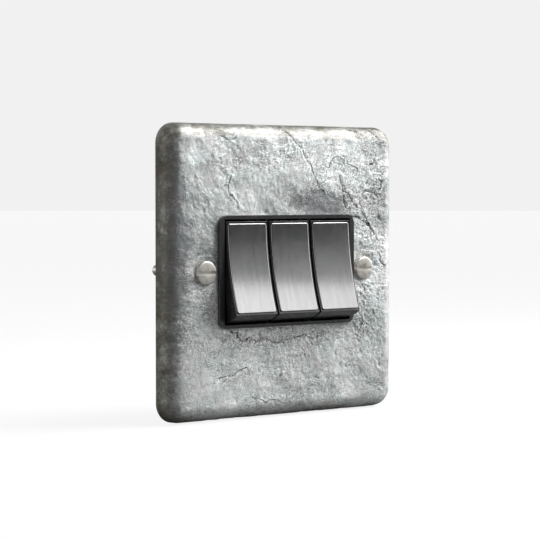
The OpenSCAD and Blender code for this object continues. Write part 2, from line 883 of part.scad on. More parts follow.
face_plate();
wall_gasket();
plate_pillars();
upper_strap();
lower_strap();
strap_screws();
front_housing();
rear_base();
housing_screws();
fixing_screws();
screw_retainers();
earth_bracket();
earth_terminal();
earth_screw();
rocker_body(1);  // rocker_body_1
rocker_body(2);  // rocker_body_2
rocker_body(3);  // rocker_body_3
rocker_cap(1);  // rocker_cap_1
rocker_cap(2);  // rocker_cap_2
rocker_cap(3);  // rocker_cap_3
plunger(1);  // plunger_1
plunger(2);  // plunger_2
plunger(3);  // plunger_3
plunger_spring(1);  // plunger_spring_1
plunger_spring(2);  // plunger_spring_2
plunger_spring(3);  // plunger_spring_3
contact_arm(1);  // contact_arm_1
contact_arm(2);  // contact_arm_2
contact_arm(3);  // contact_arm_3
arm_tips(1);  // arm_tips_1
arm_tips(2);  // arm_tips_2
arm_tips(3);  // arm_tips_3
com_terminal(1);  // com_terminal_1
com_terminal(2);  // com_terminal_2
com_terminal(3);  // com_terminal_3
l1_terminal(1);  // l1_terminal_1
l1_terminal(2);  // l1_terminal_2
l1_terminal(3);  // l1_terminal_3
l2_terminal(1);  // l2_terminal_1
l2_terminal(2);  // l2_terminal_2
l2_terminal(3);  // l2_terminal_3
fixed_tips(1);  // fixed_tips_1
fixed_tips(2);  // fixed_tips_2
fixed_tips(3);  // fixed_tips_3
clamp_screws(1);  // clamp_screws_1
clamp_screws(2);  // clamp_screws_2
clamp_screws(3);  // clamp_screws_3
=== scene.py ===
"""Looks of a three-gang rocker light switch on a rolled-edge metal wall plate.

Pieces are modelled in the wall frame, in millimetres: x to the right, y up the wall and z out of
the wall, with the wall's surface at z = 0. They are then laid into the part's own frame, in metres.
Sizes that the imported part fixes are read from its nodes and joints; the rest are fields here.
"""

import json
import logging
import math
from collections.abc import Callable, Iterable, Sequence
from dataclasses import dataclass, field
from enum import Enum
from functools import reduce

import bmesh
import bpy
import numpy as np
from mathutils import Matrix, Vector


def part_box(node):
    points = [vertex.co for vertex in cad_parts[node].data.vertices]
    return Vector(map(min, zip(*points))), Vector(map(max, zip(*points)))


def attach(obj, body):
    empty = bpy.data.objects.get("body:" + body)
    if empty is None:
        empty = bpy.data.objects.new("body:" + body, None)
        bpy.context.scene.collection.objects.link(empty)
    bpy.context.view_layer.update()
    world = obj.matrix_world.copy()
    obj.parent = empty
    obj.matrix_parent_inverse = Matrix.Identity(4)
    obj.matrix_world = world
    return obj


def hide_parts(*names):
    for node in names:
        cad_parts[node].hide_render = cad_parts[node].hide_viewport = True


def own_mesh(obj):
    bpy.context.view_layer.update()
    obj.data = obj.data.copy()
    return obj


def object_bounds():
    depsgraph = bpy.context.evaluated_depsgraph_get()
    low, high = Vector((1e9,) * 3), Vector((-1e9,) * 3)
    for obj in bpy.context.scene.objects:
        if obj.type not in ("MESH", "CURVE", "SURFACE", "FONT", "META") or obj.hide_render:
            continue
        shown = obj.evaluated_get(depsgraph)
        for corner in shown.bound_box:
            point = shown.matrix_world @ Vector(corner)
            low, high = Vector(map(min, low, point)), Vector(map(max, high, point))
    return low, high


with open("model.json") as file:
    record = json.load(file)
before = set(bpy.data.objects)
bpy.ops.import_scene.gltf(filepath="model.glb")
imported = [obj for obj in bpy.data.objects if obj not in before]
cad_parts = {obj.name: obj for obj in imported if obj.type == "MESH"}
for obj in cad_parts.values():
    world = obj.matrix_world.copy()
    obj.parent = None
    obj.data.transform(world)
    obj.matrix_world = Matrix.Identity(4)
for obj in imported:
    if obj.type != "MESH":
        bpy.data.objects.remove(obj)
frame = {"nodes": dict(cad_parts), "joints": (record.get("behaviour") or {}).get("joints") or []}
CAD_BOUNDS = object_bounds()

LOG = logging.getLogger("switch")
MM = 0.001
GANGS = (1, 2, 3)
WALL_TO_ROW = Matrix(((MM, 0, 0, 0), (0, 0, -MM, 0), (0, MM, 0, 0), (0, 0, 0, 1)))
ROW_TO_WALL = WALL_TO_ROW.inverted()

Rgb = tuple[float, float, float]
Point2 = tuple[float, float]
Face = tuple[int, ...]
Piece = bpy.types.Object
Socket = bpy.types.NodeSocket
Material = bpy.types.Material


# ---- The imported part's places ----


def node_box(node: str) -> tuple[Vector, Vector]:
    """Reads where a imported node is.

    Args:
        node: name of the node.

    Returns:
        Its lowest and highest corner in the wall frame, in millimetres.
    """
    low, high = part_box(node)
    ends = (ROW_TO_WALL @ low, ROW_TO_WALL @ high)
    return (
        Vector([min(a, b) for a, b in zip(*ends, strict=True)]),
        Vector([max(a, b) for a, b in zip(*ends, strict=True)]),
    )


def joint_named(name: str) -> dict:
    """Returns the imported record's joint of that name."""
    return next(joint for joint in frame["joints"] if joint["name"] == name)


def joint_place(name: str) -> Vector:
    """Returns a hinge's place in the wall frame, in millimetres."""
    return ROW_TO_WALL @ Vector(joint_named(name)["pos_m"])


PLATE_FACE_Z = node_box("face_plate")[1].z
WALL_GAP = node_box("wall_gasket")[1].z
BEZEL_HALF_W = 51.3 / 2
BEZEL_HALF_H = 32.974 / 2
SEAT_SINK = 0.25


# ---- Repeatable noise ----


class GrainField:
    """Smooth repeatable noise over points in millimetres."""

    PRIMES = (374761393, 668265263, 2147483647)
    SEED_STEP = 7919
    SALT_STEP = 104729
    MIX = 1274126177
    MASK = 0xFFFFFFFF
    REACH = 1.6
    LAYER_SHIFT = 17.3

    def __init__(self, seed: int) -> None:
        """Keeps the seed that tells this field from others."""
        self.seed = seed

    def _corner(self, cell: np.ndarray, salt: int) -> np.ndarray:
        """Draws one number for each lattice corner.

        Args:
            cell: whole-number corners, one per row.
            salt: tells several draws at one corner apart.

        Returns:
            Numbers from -1 to 1.
        """
        start = (self.seed * self.SEED_STEP + salt * self.SALT_STEP) & self.MASK
        h = np.full(cell.shape[0], start, np.uint64)
        for axis, prime in enumerate(self.PRIMES):
            part = (cell[:, axis].astype(np.int64) & self.MASK).astype(np.uint64)
            h = (h + part * np.uint64(prime)) & np.uint64(self.MASK)
            h = ((h ^ (h >> np.uint64(13))) * np.uint64(self.MIX)) & np.uint64(self.MASK)
        h = h ^ (h >> np.uint64(16))
        return h.astype(np.float64) / self.MASK * 2 - 1

    def smooth(self, points: np.ndarray, size: float) -> np.ndarray:
        """Gradient noise of one feature size.

        Args:
            points: places in millimetres, one per row.
            size: feature size in millimetres.

        Returns:
            One value per point, mostly between -1 and 1.
        """
        scaled = points / size
        cell = np.floor(scaled)
        part = scaled - cell
        ease = part * part * part * (part * (part * 6 - 15) + 10)
        total = np.zeros(len(points))
        for corner in range(8):
            offset = np.array([(corner >> axis) & 1 for axis in range(3)], float)
            weight = np.prod(np.where(offset > 0, ease, 1 - ease), axis=1)
            reach = part - offset
            slope = sum(
                self._corner(cell + offset, axis) * reach[:, axis] for axis in range(3)
            )
            total += weight * slope
        return total * self.REACH

    def layered(
        self, points: np.ndarray, size: float, layers: int, fade: float = 0.5
    ) -> np.ndarray:
        """Sums noise of halving feature sizes.

        Args:
            points: places in millimetres, one per row.
            size: largest feature size in millimetres.
            layers: how many sizes are summed.
            fade: strength of each layer over the one before.

        Returns:
            One value per point.
        """
        total, strength = np.zeros(len(points)), 1.0
        for layer in range(layers):
            total += strength * self.smooth(points + self.LAYER_SHIFT * layer, size / 2**layer)
            strength *= fade
        return total


def eased(value: np.ndarray) -> np.ndarray:
    """Clamps to 0..1 and eases both ends."""
    clamped = np.clip(value, 0, 1)
    return clamped * clamped * (3 - 2 * clamped)


# ---- Mesh building ----


@dataclass
class Shape:
    """A mesh under construction: points in the wall frame in millimetres, and faces."""

    points: np.ndarray = field(default_factory=lambda: np.zeros((0, 3)))
    faces: list[Face] = field(default_factory=list)

    def add(self, points: np.ndarray, faces: Iterable[Face]) -> "Shape":
        """Adds points and faces that number their own points from 0.

        Args:
            points: new points, one per row.
            faces: faces over the new points.

        Returns:
            The shape itself.
        """
        start = len(self.points)
        self.points = np.vstack([self.points, points])
        self.faces += [tuple(start + i for i in face) for face in faces]
        return self

    def moved(self, place: Matrix) -> "Shape":
        """Returns the shape carried by a matrix."""
        m = np.array(place, float)
        return Shape(self.points @ m[:3, :3].T + m[:3, 3], list(self.faces))

    def object(self, name: str) -> Piece:
        """Makes a Blender object of the shape, still in millimetres, with outward faces.

        Args:
            name: name of the object and its mesh.

        Returns:
            The object.
        """
        mesh = bpy.data.meshes.new(name)
        mesh.from_pydata(self.points.tolist(), [], self.faces)
        mesh.validate()
        made = bpy.data.objects.new(name, mesh)
        bpy.context.scene.collection.objects.link(made)
        edit_mesh(made, lambda bm: bmesh.ops.recalc_face_normals(bm, faces=bm.faces))
        return made


def edit_mesh(obj: Piece, change: Callable[[bmesh.types.BMesh], object]) -> None:
    """Runs a change on an object's mesh.

    Args:
        obj: the object whose mesh is changed.
        change: takes the editable mesh.
    """
    bm = bmesh.new()
    bm.from_mesh(obj.data)
    change(bm)
    bm.to_mesh(obj.data)
    bm.free()
    obj.data.update()


def grid_faces(rings: int, around: int, join_ends: bool = False) -> list[Face]:
    """Joins rings of points into quads.

    Args:
        rings: how many rings.
        around: points in each closed ring.
        join_ends: whether the last ring joins the first.

    Returns:
        The quads, numbering points ring by ring.
    """
    last = rings if join_ends else rings - 1
    return [
        (
            i * around + j,
            i * around + (j + 1) % around,
            (i + 1) % rings * around + (j + 1) % around,
            (i + 1) % rings * around + j,
        )
        for i in range(last)
        for j in range(around)
    ]


def lathed(profile: Sequence[Point2], around: int) -> Shape:
    """Turns a profile about the z axis.

    Args:
        profile: radius and height of each point, from one end on the axis to the other.
        around: points in each ring.

    Returns:
        A closed shape.
    """
    angles = np.linspace(0, 2 * math.pi, around, endpoint=False)
    rings = [
        np.stack([r * np.cos(angles), r * np.sin(angles), np.full(around, z)], 1)
        for r, z in profile
        if r > 0
    ]
    shape = Shape().add(np.vstack(rings), grid_faces(len(rings), around))
    for ring, (r, z) in ((0, profile[0]), (len(rings) - 1, profile[-1])):
        edge = [ring * around + j for j in range(around)]
        if r > 0:
            shape.faces.append(tuple(edge))
            continue
        tip = len(shape.points)
        shape.points = np.vstack([shape.points, [[0, 0, z]]])
        shape.faces += [(edge[j], edge[(j + 1) % around], tip) for j in range(around)]
    return shape


def block(low: Sequence[float], high: Sequence[float]) -> Shape:
    """Makes a block.

    Args:
        low: its lowest corner.
        high: its highest corner.

    Returns:
        A closed shape.
    """
    corners = np.array([[(low, high)[(i >> k) & 1][k] for k in range(3)] for i in range(8)], float)
    faces = [(0, 2, 3, 1), (4, 5, 7, 6), (0, 1, 5, 4), (2, 6, 7, 3), (0, 4, 6, 2), (1, 3, 7, 5)]
    return Shape().add(corners, faces)


class Cut(Enum):
    """What a boolean does with the second shape."""

    AWAY = "DIFFERENCE"
    FUSE = "UNION"


def combine(obj: Piece, other: Piece, cut: Cut) -> None:
    """Cuts or fuses another object into one and removes the other.

    Args:
        obj: the object that is changed.
        other: the object that is used up.
        cut: what is done.
    """
    step = obj.modifiers.new("cut", "BOOLEAN")
    step.operation, step.solver, step.object = cut.value, "MANIFOLD", other
    bpy.context.view_layer.update()
    graph = bpy.context.evaluated_depsgraph_get()
    made = bpy.data.meshes.new_from_object(obj.evaluated_get(graph), depsgraph=graph)
    obj.modifiers.clear()
    spent, obj.data = obj.data, made
    bpy.data.meshes.remove(spent)
    bpy.data.objects.remove(other)


class Softness(Enum):
    """How far edges are rounded, in millimetres."""

    CRISP = 0.06
    MACHINED = 0.12
    MOULDED = 0.2
    ROLLED = 0.3
    BOLD = 0.38


MERGE_SHARE = 0.02
FLAT_DEGREES = 0.2
VOLUME_SLACK = 0.002


def ease_edges(
    obj: Piece, radius: float, angle: float = 32, steps: int = 3, flattened: bool = True
) -> None:
    """Rounds the sharp edges of a mesh.

    Args:
        obj: the object whose mesh is changed.
        radius: rounding in the mesh's own unit.
        angle: least angle between two faces that counts as an edge, in degrees.
        steps: faces across each rounding.
        flattened: whether flat areas first become single faces.
    """

    def change(bm: bmesh.types.BMesh) -> None:
        """Merges, flattens and bevels.

        Args:
            bm: the editable mesh.
        """
        bmesh.ops.remove_doubles(bm, verts=bm.verts, dist=radius * MERGE_SHARE)
        before = bm.calc_volume()
        flat = bm.copy()
        bmesh.ops.dissolve_limit(
            flat,
            angle_limit=math.radians(FLAT_DEGREES),
            verts=flat.verts,
            edges=flat.edges,
            use_dissolve_boundaries=False,
        )
        if flattened and abs(flat.calc_volume() - before) < VOLUME_SLACK * abs(before):
            flat.to_mesh(obj.data)
            bm.clear()
            bm.from_mesh(obj.data)
        flat.free()
        limit = math.radians(angle)
        sharp = [e for e in bm.edges if len(e.link_faces) == 2 and e.calc_face_angle(0) > limit]
        bmesh.ops.bevel(
            bm,
            geom=sharp,
            offset=radius,
            segments=steps,
            profile=0.5,
            affect="EDGES",
            clamp_overlap=True,
            miter_outer="ARC",
        )
        bmesh.ops.recalc_face_normals(bm, faces=bm.faces)

    edit_mesh(obj, change)


# ---- Finishes ----


class NodeTree:
    """Adds and links the nodes of one node tree."""

    def __init__(self, tree: bpy.types.NodeTree) -> None:
        """Keeps the tree that nodes go into."""
        self.tree = tree

    def add(self, kind: str, settings: dict | None = None, **inputs: object) -> bpy.types.Node:
        """Adds a node.

        Args:
            kind: node type without its ShaderNode prefix.
            settings: properties of the node.
            inputs: sockets to link or values to set, by input name with _ for a space.

        Returns:
            The node.
        """
        made = self.tree.nodes.new("ShaderNode" + kind)
        for key, value in (settings or {}).items():
            setattr(made, key, value)
        for key, value in inputs.items():
            self.put(made.inputs[key.replace("_", " ")], value)
        return made

    def put(self, target: Socket, value: object) -> None:
        """Links a socket to the target, or sets the target's own value.

        Args:
            target: the input.
            value: a socket or a plain value.
        """
        if isinstance(value, Socket):
            self.tree.links.new(value, target)
        else:
            target.default_value = value

    def math(self, operation: str, a: object, b: object = 0.0, clamp: bool = False) -> Socket:
        """Adds a math node.

        Args:
            operation: what it does.
            a: first socket or value.
            b: second socket or value.
            clamp: whether the result is held from 0 to 1.

        Returns:
            The result's socket.
        """
        made = self.add("Math", {"operation": operation, "use_clamp": clamp})
        self.put(made.inputs[0], a)
        self.put(made.inputs[1], b)
        return made.outputs[0]


class NodeGraph(NodeTree):
    """Builds one material's node graph, in millimetres of the piece's own surface."""

    def __init__(self, name: str) -> None:
        """Starts a material with one principled shader.

        Args:
            name: name of the material.
        """
        self.material = bpy.data.materials.new(name)
        self.material.use_nodes = True
        super().__init__(self.material.node_tree)
        self.shader = self.tree.nodes["Principled BSDF"]
        self.place = self.add("TexCoord").outputs["Object"]

    def times(self, a: object, b: object) -> Socket:
        """Returns the product of two values."""
        return self.math("MULTIPLY", a, b)

    def centred(self, value: object, weight: object) -> Socket:
        """Returns a value less a half, times a weight."""
        return self.times(self.math("SUBTRACT", value, 0.5), weight)

    def total(self, *parts: object) -> Socket:
        """Returns the sum of several values."""
        return reduce(lambda a, b: self.math("ADD", a, b), parts)

    def stretched(self, x: float, y: float, z: float) -> Socket:
        """Returns the place scaled along each axis."""
        return self.add("Mapping", Vector=self.place, Scale=(x, y, z)).outputs["Vector"]

    def noise(
        self, size: float, detail: float = 3, rough: float = 0.55, place: object = None
    ) -> Socket:
        """Noise of a feature size in millimetres.

        Args:
            size: feature size.
            detail: how many finer layers are added.
            rough: strength of the finer layers.
            place: socket to use as the place, or None for the piece's own.

        Returns:
            The noise value's socket.
        """
        scale = 1 / (size * MM)
        place = place or self.place
        made = self.add("TexNoise", Vector=place, Scale=scale, Detail=detail, Roughness=rough)
        return made.outputs["Fac"]

    def range(
        self, value: object, low: float, high: float, to_low: float, to_high: float
    ) -> Socket:
        """Maps a value from one range to another, clamped.

        Args:
            value: the value's socket.
            low: value that gives to_low.
            high: value that gives to_high.
            to_low: result at low.
            to_high: result at high.

        Returns:
            The result's socket.
        """
        made = self.add("MapRange", {"clamp": True}, Value=value, From_Min=low, From_Max=high)
        self.put(made.inputs["To Min"], to_low)
        self.put(made.inputs["To Max"], to_high)
        return made.outputs["Result"]

    def ramp(self, value: object, stops: Sequence[tuple[float, Rgb]]) -> Socket:
        """Colours a value.

        Args:
            value: the value's socket.
            stops: place and colour of each stop, in order.

        Returns:
            The colour's socket.
        """
        made = self.add("ValToRGB", Fac=value)
        elements = made.color_ramp.elements
        for i, (place, colour) in enumerate(stops):
            stop = elements[i] if i < 2 else elements.new(place)
            stop.position, stop.color = place, (*colour, 1)
        return made.outputs["Color"]

    def mix(self, share: object, a: object, b: object, blend: str = "MIX") -> Socket:
        """Mixes two colours.

        Args:
            share: how much of the second shows, 0 to 1.
            a: first colour or its socket.
            b: second colour or its socket.
            blend: how the second goes over the first.

        Returns:
            The colour's socket.
        """
        made = self.add("Mix", {"data_type": "RGBA", "blend_type": blend, "clamp_factor": True})
        self.put(made.inputs[0], share)
        self.put(made.inputs[6], a if isinstance(a, Socket) else (*a, 1))
        self.put(made.inputs[7], b if isinstance(b, Socket) else (*b, 1))
        return made.outputs[2]

    def attribute(self, name: str) -> Socket:
        """Returns a mesh attribute's value."""
        return self.add("Attribute", {"attribute_name": name}).outputs["Fac"]

    def bump(
        self, height: object, depth: float, under: object = None, share: object = 1.0
    ) -> Socket:
        """Makes fine relief.

        Args:
            height: the height's socket, 0 to 1.
            depth: millimetres from the lowest to the highest.
            under: normal that the relief stands on, or None.
            share: how much of the relief shows, 0 to 1.

        Returns:
            The normal's socket.
        """
        made = self.add("Bump", Height=height, Distance=depth * MM, Strength=share)
        if under is not None:
            self.put(made.inputs["Normal"], under)
        return made.outputs["Normal"]

    def surface(self, **inputs: object) -> None:
        """Sets the shader's inputs, by name with _ for a space."""
        for key, value in inputs.items():
            self.put(self.shader.inputs[key.replace("_", " ")], value)


@dataclass(frozen=True)
class Patina:
    """Rough mottled pewter skin with grain, flakes and stains, painted shade in creases, pits and
    on turned edges, and painted lip highlights.
    """

    name: str = "pewter_patina"
    low: Rgb = (0.26, 0.265, 0.27)
    middle: Rgb = (0.64, 0.65, 0.65)
    high: Rgb = (0.93, 0.945, 0.945)
    stops: tuple[float, ...] = (0.335, 0.5, 0.66)
    green: Rgb = (0.955, 1.0, 0.99)
    rose: Rgb = (1.0, 0.985, 0.98)
    # Olive-tinted colour of the painted shade on the turned edges.
    skirt: Rgb = (0.115, 0.104, 0.074)
    edge_dark: Rgb = (0.07, 0.07, 0.068)
    # Colour of the painted shade in the pits, crease hollows and flake rims.
    pit_shade: Rgb = (0.04, 0.039, 0.037)
    # Colour of the painted shade down in the splits.
    split_shade: Rgb = (0.012, 0.012, 0.012)
    # Colour of the painted highlight on the lips beside the splits and pits.
    lip_highlight: Rgb = (0.88, 0.90, 0.90)
    glint: Rgb = (0.92, 0.94, 0.94)
    metal: float = 0.5
    rough: tuple[float, float] = (0.34, 0.54)
    pit_rough: float = 0.3
    along: float = 0.62
    patch_share: float = 0.46
    fleck_share: float = 0.34
    cloud_share: float = 0.20
    # Weight of the tone attribute, which holds stains and painted shade.
    stain_and_shade_share: float = 0.145
    layer_share: float = 0.05
    fine_depth: float = 0.10
    fleck_depth: float = 0.30
    layer_depth: float = 0.36
    split_depth: float = 0.10
    levels: tuple[float, ...] = (0.40, 0.475, 0.535, 0.60)
    wander: float = 1.5
    lip_away: float = 0.34

    def flakes(self, g: NodeGraph) -> tuple[Socket, Socket]:
        """Builds overlapping layers whose edges wander.

        Args:
            g: the graph to build in.

        Returns:
            The layers' height, and how near a point is to one of their edges.
        """
        crust = g.noise(4.5, 7, 0.66)
        height, edges = 0.0, 0.0
        for level in self.levels:
            away = g.math("SUBTRACT", crust, level)
            step = g.times(g.range(away, -0.004, 0.008, 0, 1), 1 / len(self.levels))
            height = g.math("ADD", height, step)
            near = g.range(g.math("ABSOLUTE", away), 0.0, 0.009, 1, 0)
            edges = g.math("MAXIMUM", edges, near)
        where = g.range(g.noise(7, 3, 0.6), 0.42, 0.58, 0.2, 1)
        return height, g.times(edges, where)

    def splits(self, g: NodeGraph) -> tuple[Socket, Socket]:
        """Draws ragged splits along the plate's creases.

        Args:
            g: the graph to build in.

        Returns:
            How deep in a split a point is, where shade is painted, and how near the lip beside it,
            where a highlight is painted.
        """
        wander = g.centred(g.noise(0.8, 3, 0.7), self.wander)
        bends = g.centred(g.noise(2.4, 2, 0.5), self.wander)
        shift = g.math("ADD", g.attribute("seam"), g.math("ADD", wander, bends))
        half = g.range(g.noise(1.8, 2), 0.36, 0.64, 0.035, 0.20)
        across = g.math("DIVIDE", g.math("ABSOLUTE", shift), half)
        deep = g.math("SUBTRACT", 1.0, across, True)
        from_lip = g.math("ABSOLUTE", g.math("SUBTRACT", shift, self.lip_away))
        beside = g.range(from_lip, 0.0, 0.16, 1, 0)
        near = g.attribute("near")
        return g.times(g.math("POWER", deep, 0.5), near), g.times(beside, near)

    def material(self) -> Material:
        """Builds the node material.

        Returns:
            The material.
        """
        g = NodeGraph(self.name)
        g.place = g.stretched(self.along, 1, 1)
        clouds = g.noise(13, 3, 0.5)
        patches = g.noise(5.5, 5, 0.6)
        flecks = g.noise(1.1, 5, 0.7)
        specks = g.noise(0.36, 2, 0.6)
        crumble, hollow = g.attribute("crumble"), g.attribute("hollow")
        layers, edges = self.flakes(g)
        split, lip = self.splits(g)
        tone = g.total(
            g.times(patches, self.patch_share),
            g.times(flecks, self.fleck_share),
            g.times(clouds, self.cloud_share),
            # The tone attribute holds stains, and painted shade on the left edge and in the fixing
            # dimples.
            g.times(g.attribute("tone"), self.stain_and_shade_share),
            g.centred(specks, g.range(crumble, 0, 1, 0.36, 0.9)),
            g.centred(layers, self.layer_share),
        )
        shades = (self.low, self.middle, self.high)
        colour = g.ramp(tone, tuple(zip(self.stops, shades, strict=True)))
        tint = g.mix(g.range(g.noise(6, 2, 0.5), 0.36, 0.64, 0, 1), self.green, self.rose)
        colour = g.mix(1.0, colour, tint, "MULTIPLY")
        edges = g.times(edges, g.range(crumble, 0, 0.8, 0.4, 1.0))
        colour = g.mix(edges, colour, self.edge_dark)
        # Painted shade in the pits, crease hollows and flake rims.
        colour = g.mix(g.range(hollow, 0.12, 0.9, 0, 0.85), colour, self.pit_shade)
        # Painted highlight on the lips beside the splits and on the upper right rims of the pits.
        raised = g.math("ADD", g.attribute("raised"), lip)
        colour = g.mix(g.range(raised, 0.15, 0.9, 0, 0.6), colour, self.lip_highlight)
        sparkle = g.range(g.noise(0.5, 3, 0.7), 0.67, 0.75, 0, 0.7)
        colour = g.mix(sparkle, colour, self.glint)
        # Painted shade on the turned edges, tinted olive, weaker where the patches are light.
        stain = g.range(g.math("ADD", patches, g.times(flecks, 0.6)), 0.6, 0.95, 1.0, 0.5)
        colour = g.mix(g.times(g.attribute("skirt"), stain), colour, self.skirt)
        # Painted shade down in the splits.
        colour = g.mix(split, colour, self.split_shade)
        rough = g.range(flecks, 0.3, 0.7, *self.rough)
        worn = g.times(g.math("MAXIMUM", hollow, split), self.pit_rough)
        rough = g.math("ADD", rough, worn, True)
        share = g.range(crumble, 0, 0.9, 0.28, 1)
        relief = g.bump(g.noise(0.30, 3, 0.65), self.fine_depth, None, share)
        relief = g.bump(flecks, self.fleck_depth, relief, share)
        relief = g.bump(layers, self.layer_depth, relief, share)
        relief = g.bump(g.math("SUBTRACT", lip, g.times(split, 2.0)), self.split_depth, relief)
        g.surface(Base_Color=colour, Metallic=self.metal, Roughness=rough, Normal=relief)
        return g.material


@dataclass(frozen=True)
class BrushedSteel:
    """Fine lengthwise brushing on bright sheet steel."""

    name: str = "brushed_cap"
    low: Rgb = (0.40, 0.40, 0.405)
    high: Rgb = (0.49, 0.49, 0.495)
    rough_low: float = 0.17
    rough_high: float = 0.23
    anisotropy: float = 0.55
    depth: float = 0.0012

    def material(self) -> Material:
        """Builds the node material.

        Returns:
            The material.
        """
        g = NodeGraph(self.name)
        streaks = g.noise(0.16, 2, 0.5, g.stretched(1, 1, 0.02))
        bands = g.noise(1.3, 3, 0.6, g.stretched(1, 0.25, 0.10))
        smears = g.noise(5, 3, 0.6, g.stretched(0.35, 1, 1))
        share = g.total(g.times(streaks, 0.5), g.times(bands, 0.5))
        colour = g.mix(g.range(share, 0.3, 0.7, 0, 1), self.low, self.high)
        rough = g.total(streaks, g.times(smears, 0.6))
        g.surface(
            Base_Color=colour,
            Metallic=1.0,
            Roughness=g.range(rough, 0.5, 1.1, self.rough_low, self.rough_high),
            Normal=g.bump(streaks, self.depth),
            Anisotropic=self.anisotropy,
            Tangent=g.add("Tangent", {"direction_type": "UV_MAP"}).outputs["Tangent"],
        )
        return g.material


@dataclass(frozen=True)
class Metal:
    """Plain metal with its own tint, small stains, fine grain and rougher patches."""

    name: str
    base: Rgb
    stain: Rgb
    rough: float = 0.3
    grain: float = 0.6
    depth: float = 0.008
    stained: float = 0.35
    turned: bool = False
    rings_per_mm: float = 9.0

    def material(self) -> Material:
        """Builds the node material.

        Returns:
            The material.
        """
        g = NodeGraph(self.name)
        grain = g.noise(self.grain, 4, 0.6)
        patches = g.noise(self.grain * 6, 3, 0.6)
        colour = g.mix(g.range(patches, 0.42, 0.7, 0, self.stained), self.base, self.stain)
        colour = g.mix(g.range(grain, 0.45, 0.75, 0, 0.3), colour, self.stain)
        height = grain
        if self.turned:
            out = g.add("SeparateXYZ", Vector=g.add("UVMap").outputs["UV"]).outputs["X"]
            rings = g.add("TexNoise", {"noise_dimensions": "1D"}, W=out, Detail=2.0)
            g.put(rings.inputs["Scale"], self.rings_per_mm)
            marks = rings.outputs["Fac"]
            height = g.total(g.times(grain, 0.35), g.times(marks, 0.65))
            colour = g.mix(g.range(marks, 0.35, 0.65, 0.28, 0), colour, self.stain)
        rough = g.range(height, 0.3, 0.7, self.rough * 0.8, self.rough * 1.25)
        relief = g.bump(height, self.depth)
        g.surface(Base_Color=colour, Metallic=1.0, Roughness=rough, Normal=relief)
        return g.material


@dataclass(frozen=True)
class Moulding:
    """Moulded plastic with a faint texture, dust and slight sheen changes."""

    name: str
    base: Rgb
    worn: Rgb
    rough: float = 0.3
    texture: float = 0.5
    depth: float = 0.006
    coat: float = 0.0
    coat_rough: float = 0.15

    def material(self) -> Material:
        """Builds the node material.

        Returns:
            The material.
        """
        g = NodeGraph(self.name)
        orange = g.noise(self.texture, 2, 0.5)
        dust = g.noise(0.5, 4, 0.75)
        haze = g.noise(7, 3, 0.55)
        colour = g.mix(g.range(haze, 0.4, 0.7, 0, 0.45), self.base, self.worn)
        colour = g.mix(g.range(dust, 0.66, 0.8, 0, 0.5), colour, self.worn)
        rough = g.range(haze, 0.3, 0.7, self.rough * 0.85, self.rough * 1.2)
        g.surface(Base_Color=colour, Roughness=rough, Normal=g.bump(orange, self.depth))
        g.surface(Coat_Weight=self.coat, Coat_Roughness=self.coat_rough)
        return g.material


@dataclass(frozen=True)
class Foam:
    """Matt cellular rubber."""

    name: str
    base: Rgb
    lit: Rgb
    cell: float = 0.35
    depth: float = 0.05

    def material(self) -> Material:
        """Builds the node material.

        Returns:
            The material.
        """
        g = NodeGraph(self.name)
        cells = g.add("TexVoronoi", Vector=g.place, Scale=1 / (self.cell * MM)).outputs["Distance"]
        colour = g.mix(g.range(g.noise(2.5, 3), 0.35, 0.7, 0, 1), self.base, self.lit)
        g.surface(Base_Color=colour, Roughness=0.9, Specular_IOR_Level=0.25)
        g.surface(Normal=g.bump(cells, self.depth))
        return g.material


FINISHES = {
    "plate": Patina(),
    "cap": BrushedSteel(),
    "gasket": Foam("black_foam", (0.012, 0.012, 0.012), (0.03, 0.029, 0.028)),
    "pillar": Metal("turned_brass", (0.70, 0.54, 0.27), (0.42, 0.30, 0.14), 0.32),
    "strap": Metal("zinc_strap", (0.60, 0.62, 0.64), (0.38, 0.39, 0.40), 0.42, 1.4, 0.012, 0.5),
    "screw": Metal("zinc_screw", (0.62, 0.62, 0.62), (0.30, 0.29, 0.27), 0.3, 0.5),
    "fixing_screw": Metal(
        "nickel_screw", (0.90, 0.88, 0.82), (0.26, 0.24, 0.20), 0.40, 0.35, 0.012, 0.45, True
    ),
    "housing": Moulding(
        "black_housing", (0.036, 0.036, 0.0365), (0.048, 0.048, 0.049), 0.24, 0.9, 0.006, 0.9
    ),
    "base": Moulding("dark_base", (0.030, 0.030, 0.033), (0.075, 0.075, 0.08), 0.48, 0.35, 0.015),
    "retainer": Moulding("red_fibre", (0.26, 0.035, 0.028), (0.40, 0.09, 0.07), 0.7, 0.3, 0.03),
    "rocker": Moulding(
        "black_rocker", (0.013, 0.013, 0.0135), (0.022, 0.022, 0.023), 0.25, 0.8, 0.006, 0.1
    ),
    "plunger": Moulding("natural_nylon", (0.70, 0.67, 0.57), (0.58, 0.54, 0.44), 0.42, 0.6),
    "spring": Metal("music_wire", (0.44, 0.44, 0.45), (0.22, 0.21, 0.20), 0.24, 0.3),
    "bronze": Metal("spring_bronze", (0.66, 0.36, 0.19), (0.36, 0.17, 0.10), 0.3, 0.8),
    "silver": Metal("silver_rivet", (0.82, 0.81, 0.78), (0.50, 0.48, 0.44), 0.24, 0.4),
    "terminal": Metal("machined_brass", (0.74, 0.56, 0.25), (0.46, 0.32, 0.14), 0.28, 0.5),
}


class FinishRack:
    """Makes each finish's material once."""

    made: dict[str, Material] = {}

    @classmethod
    def get(cls, slot: str) -> Material:
        """Makes a slot's material, or finds it if it is made.

        Args:
            slot: the record's material slot.

        Returns:
            The material.
        """
        if slot not in cls.made:
            cls.made[slot] = FINISHES[slot].material()
        return cls.made[slot]


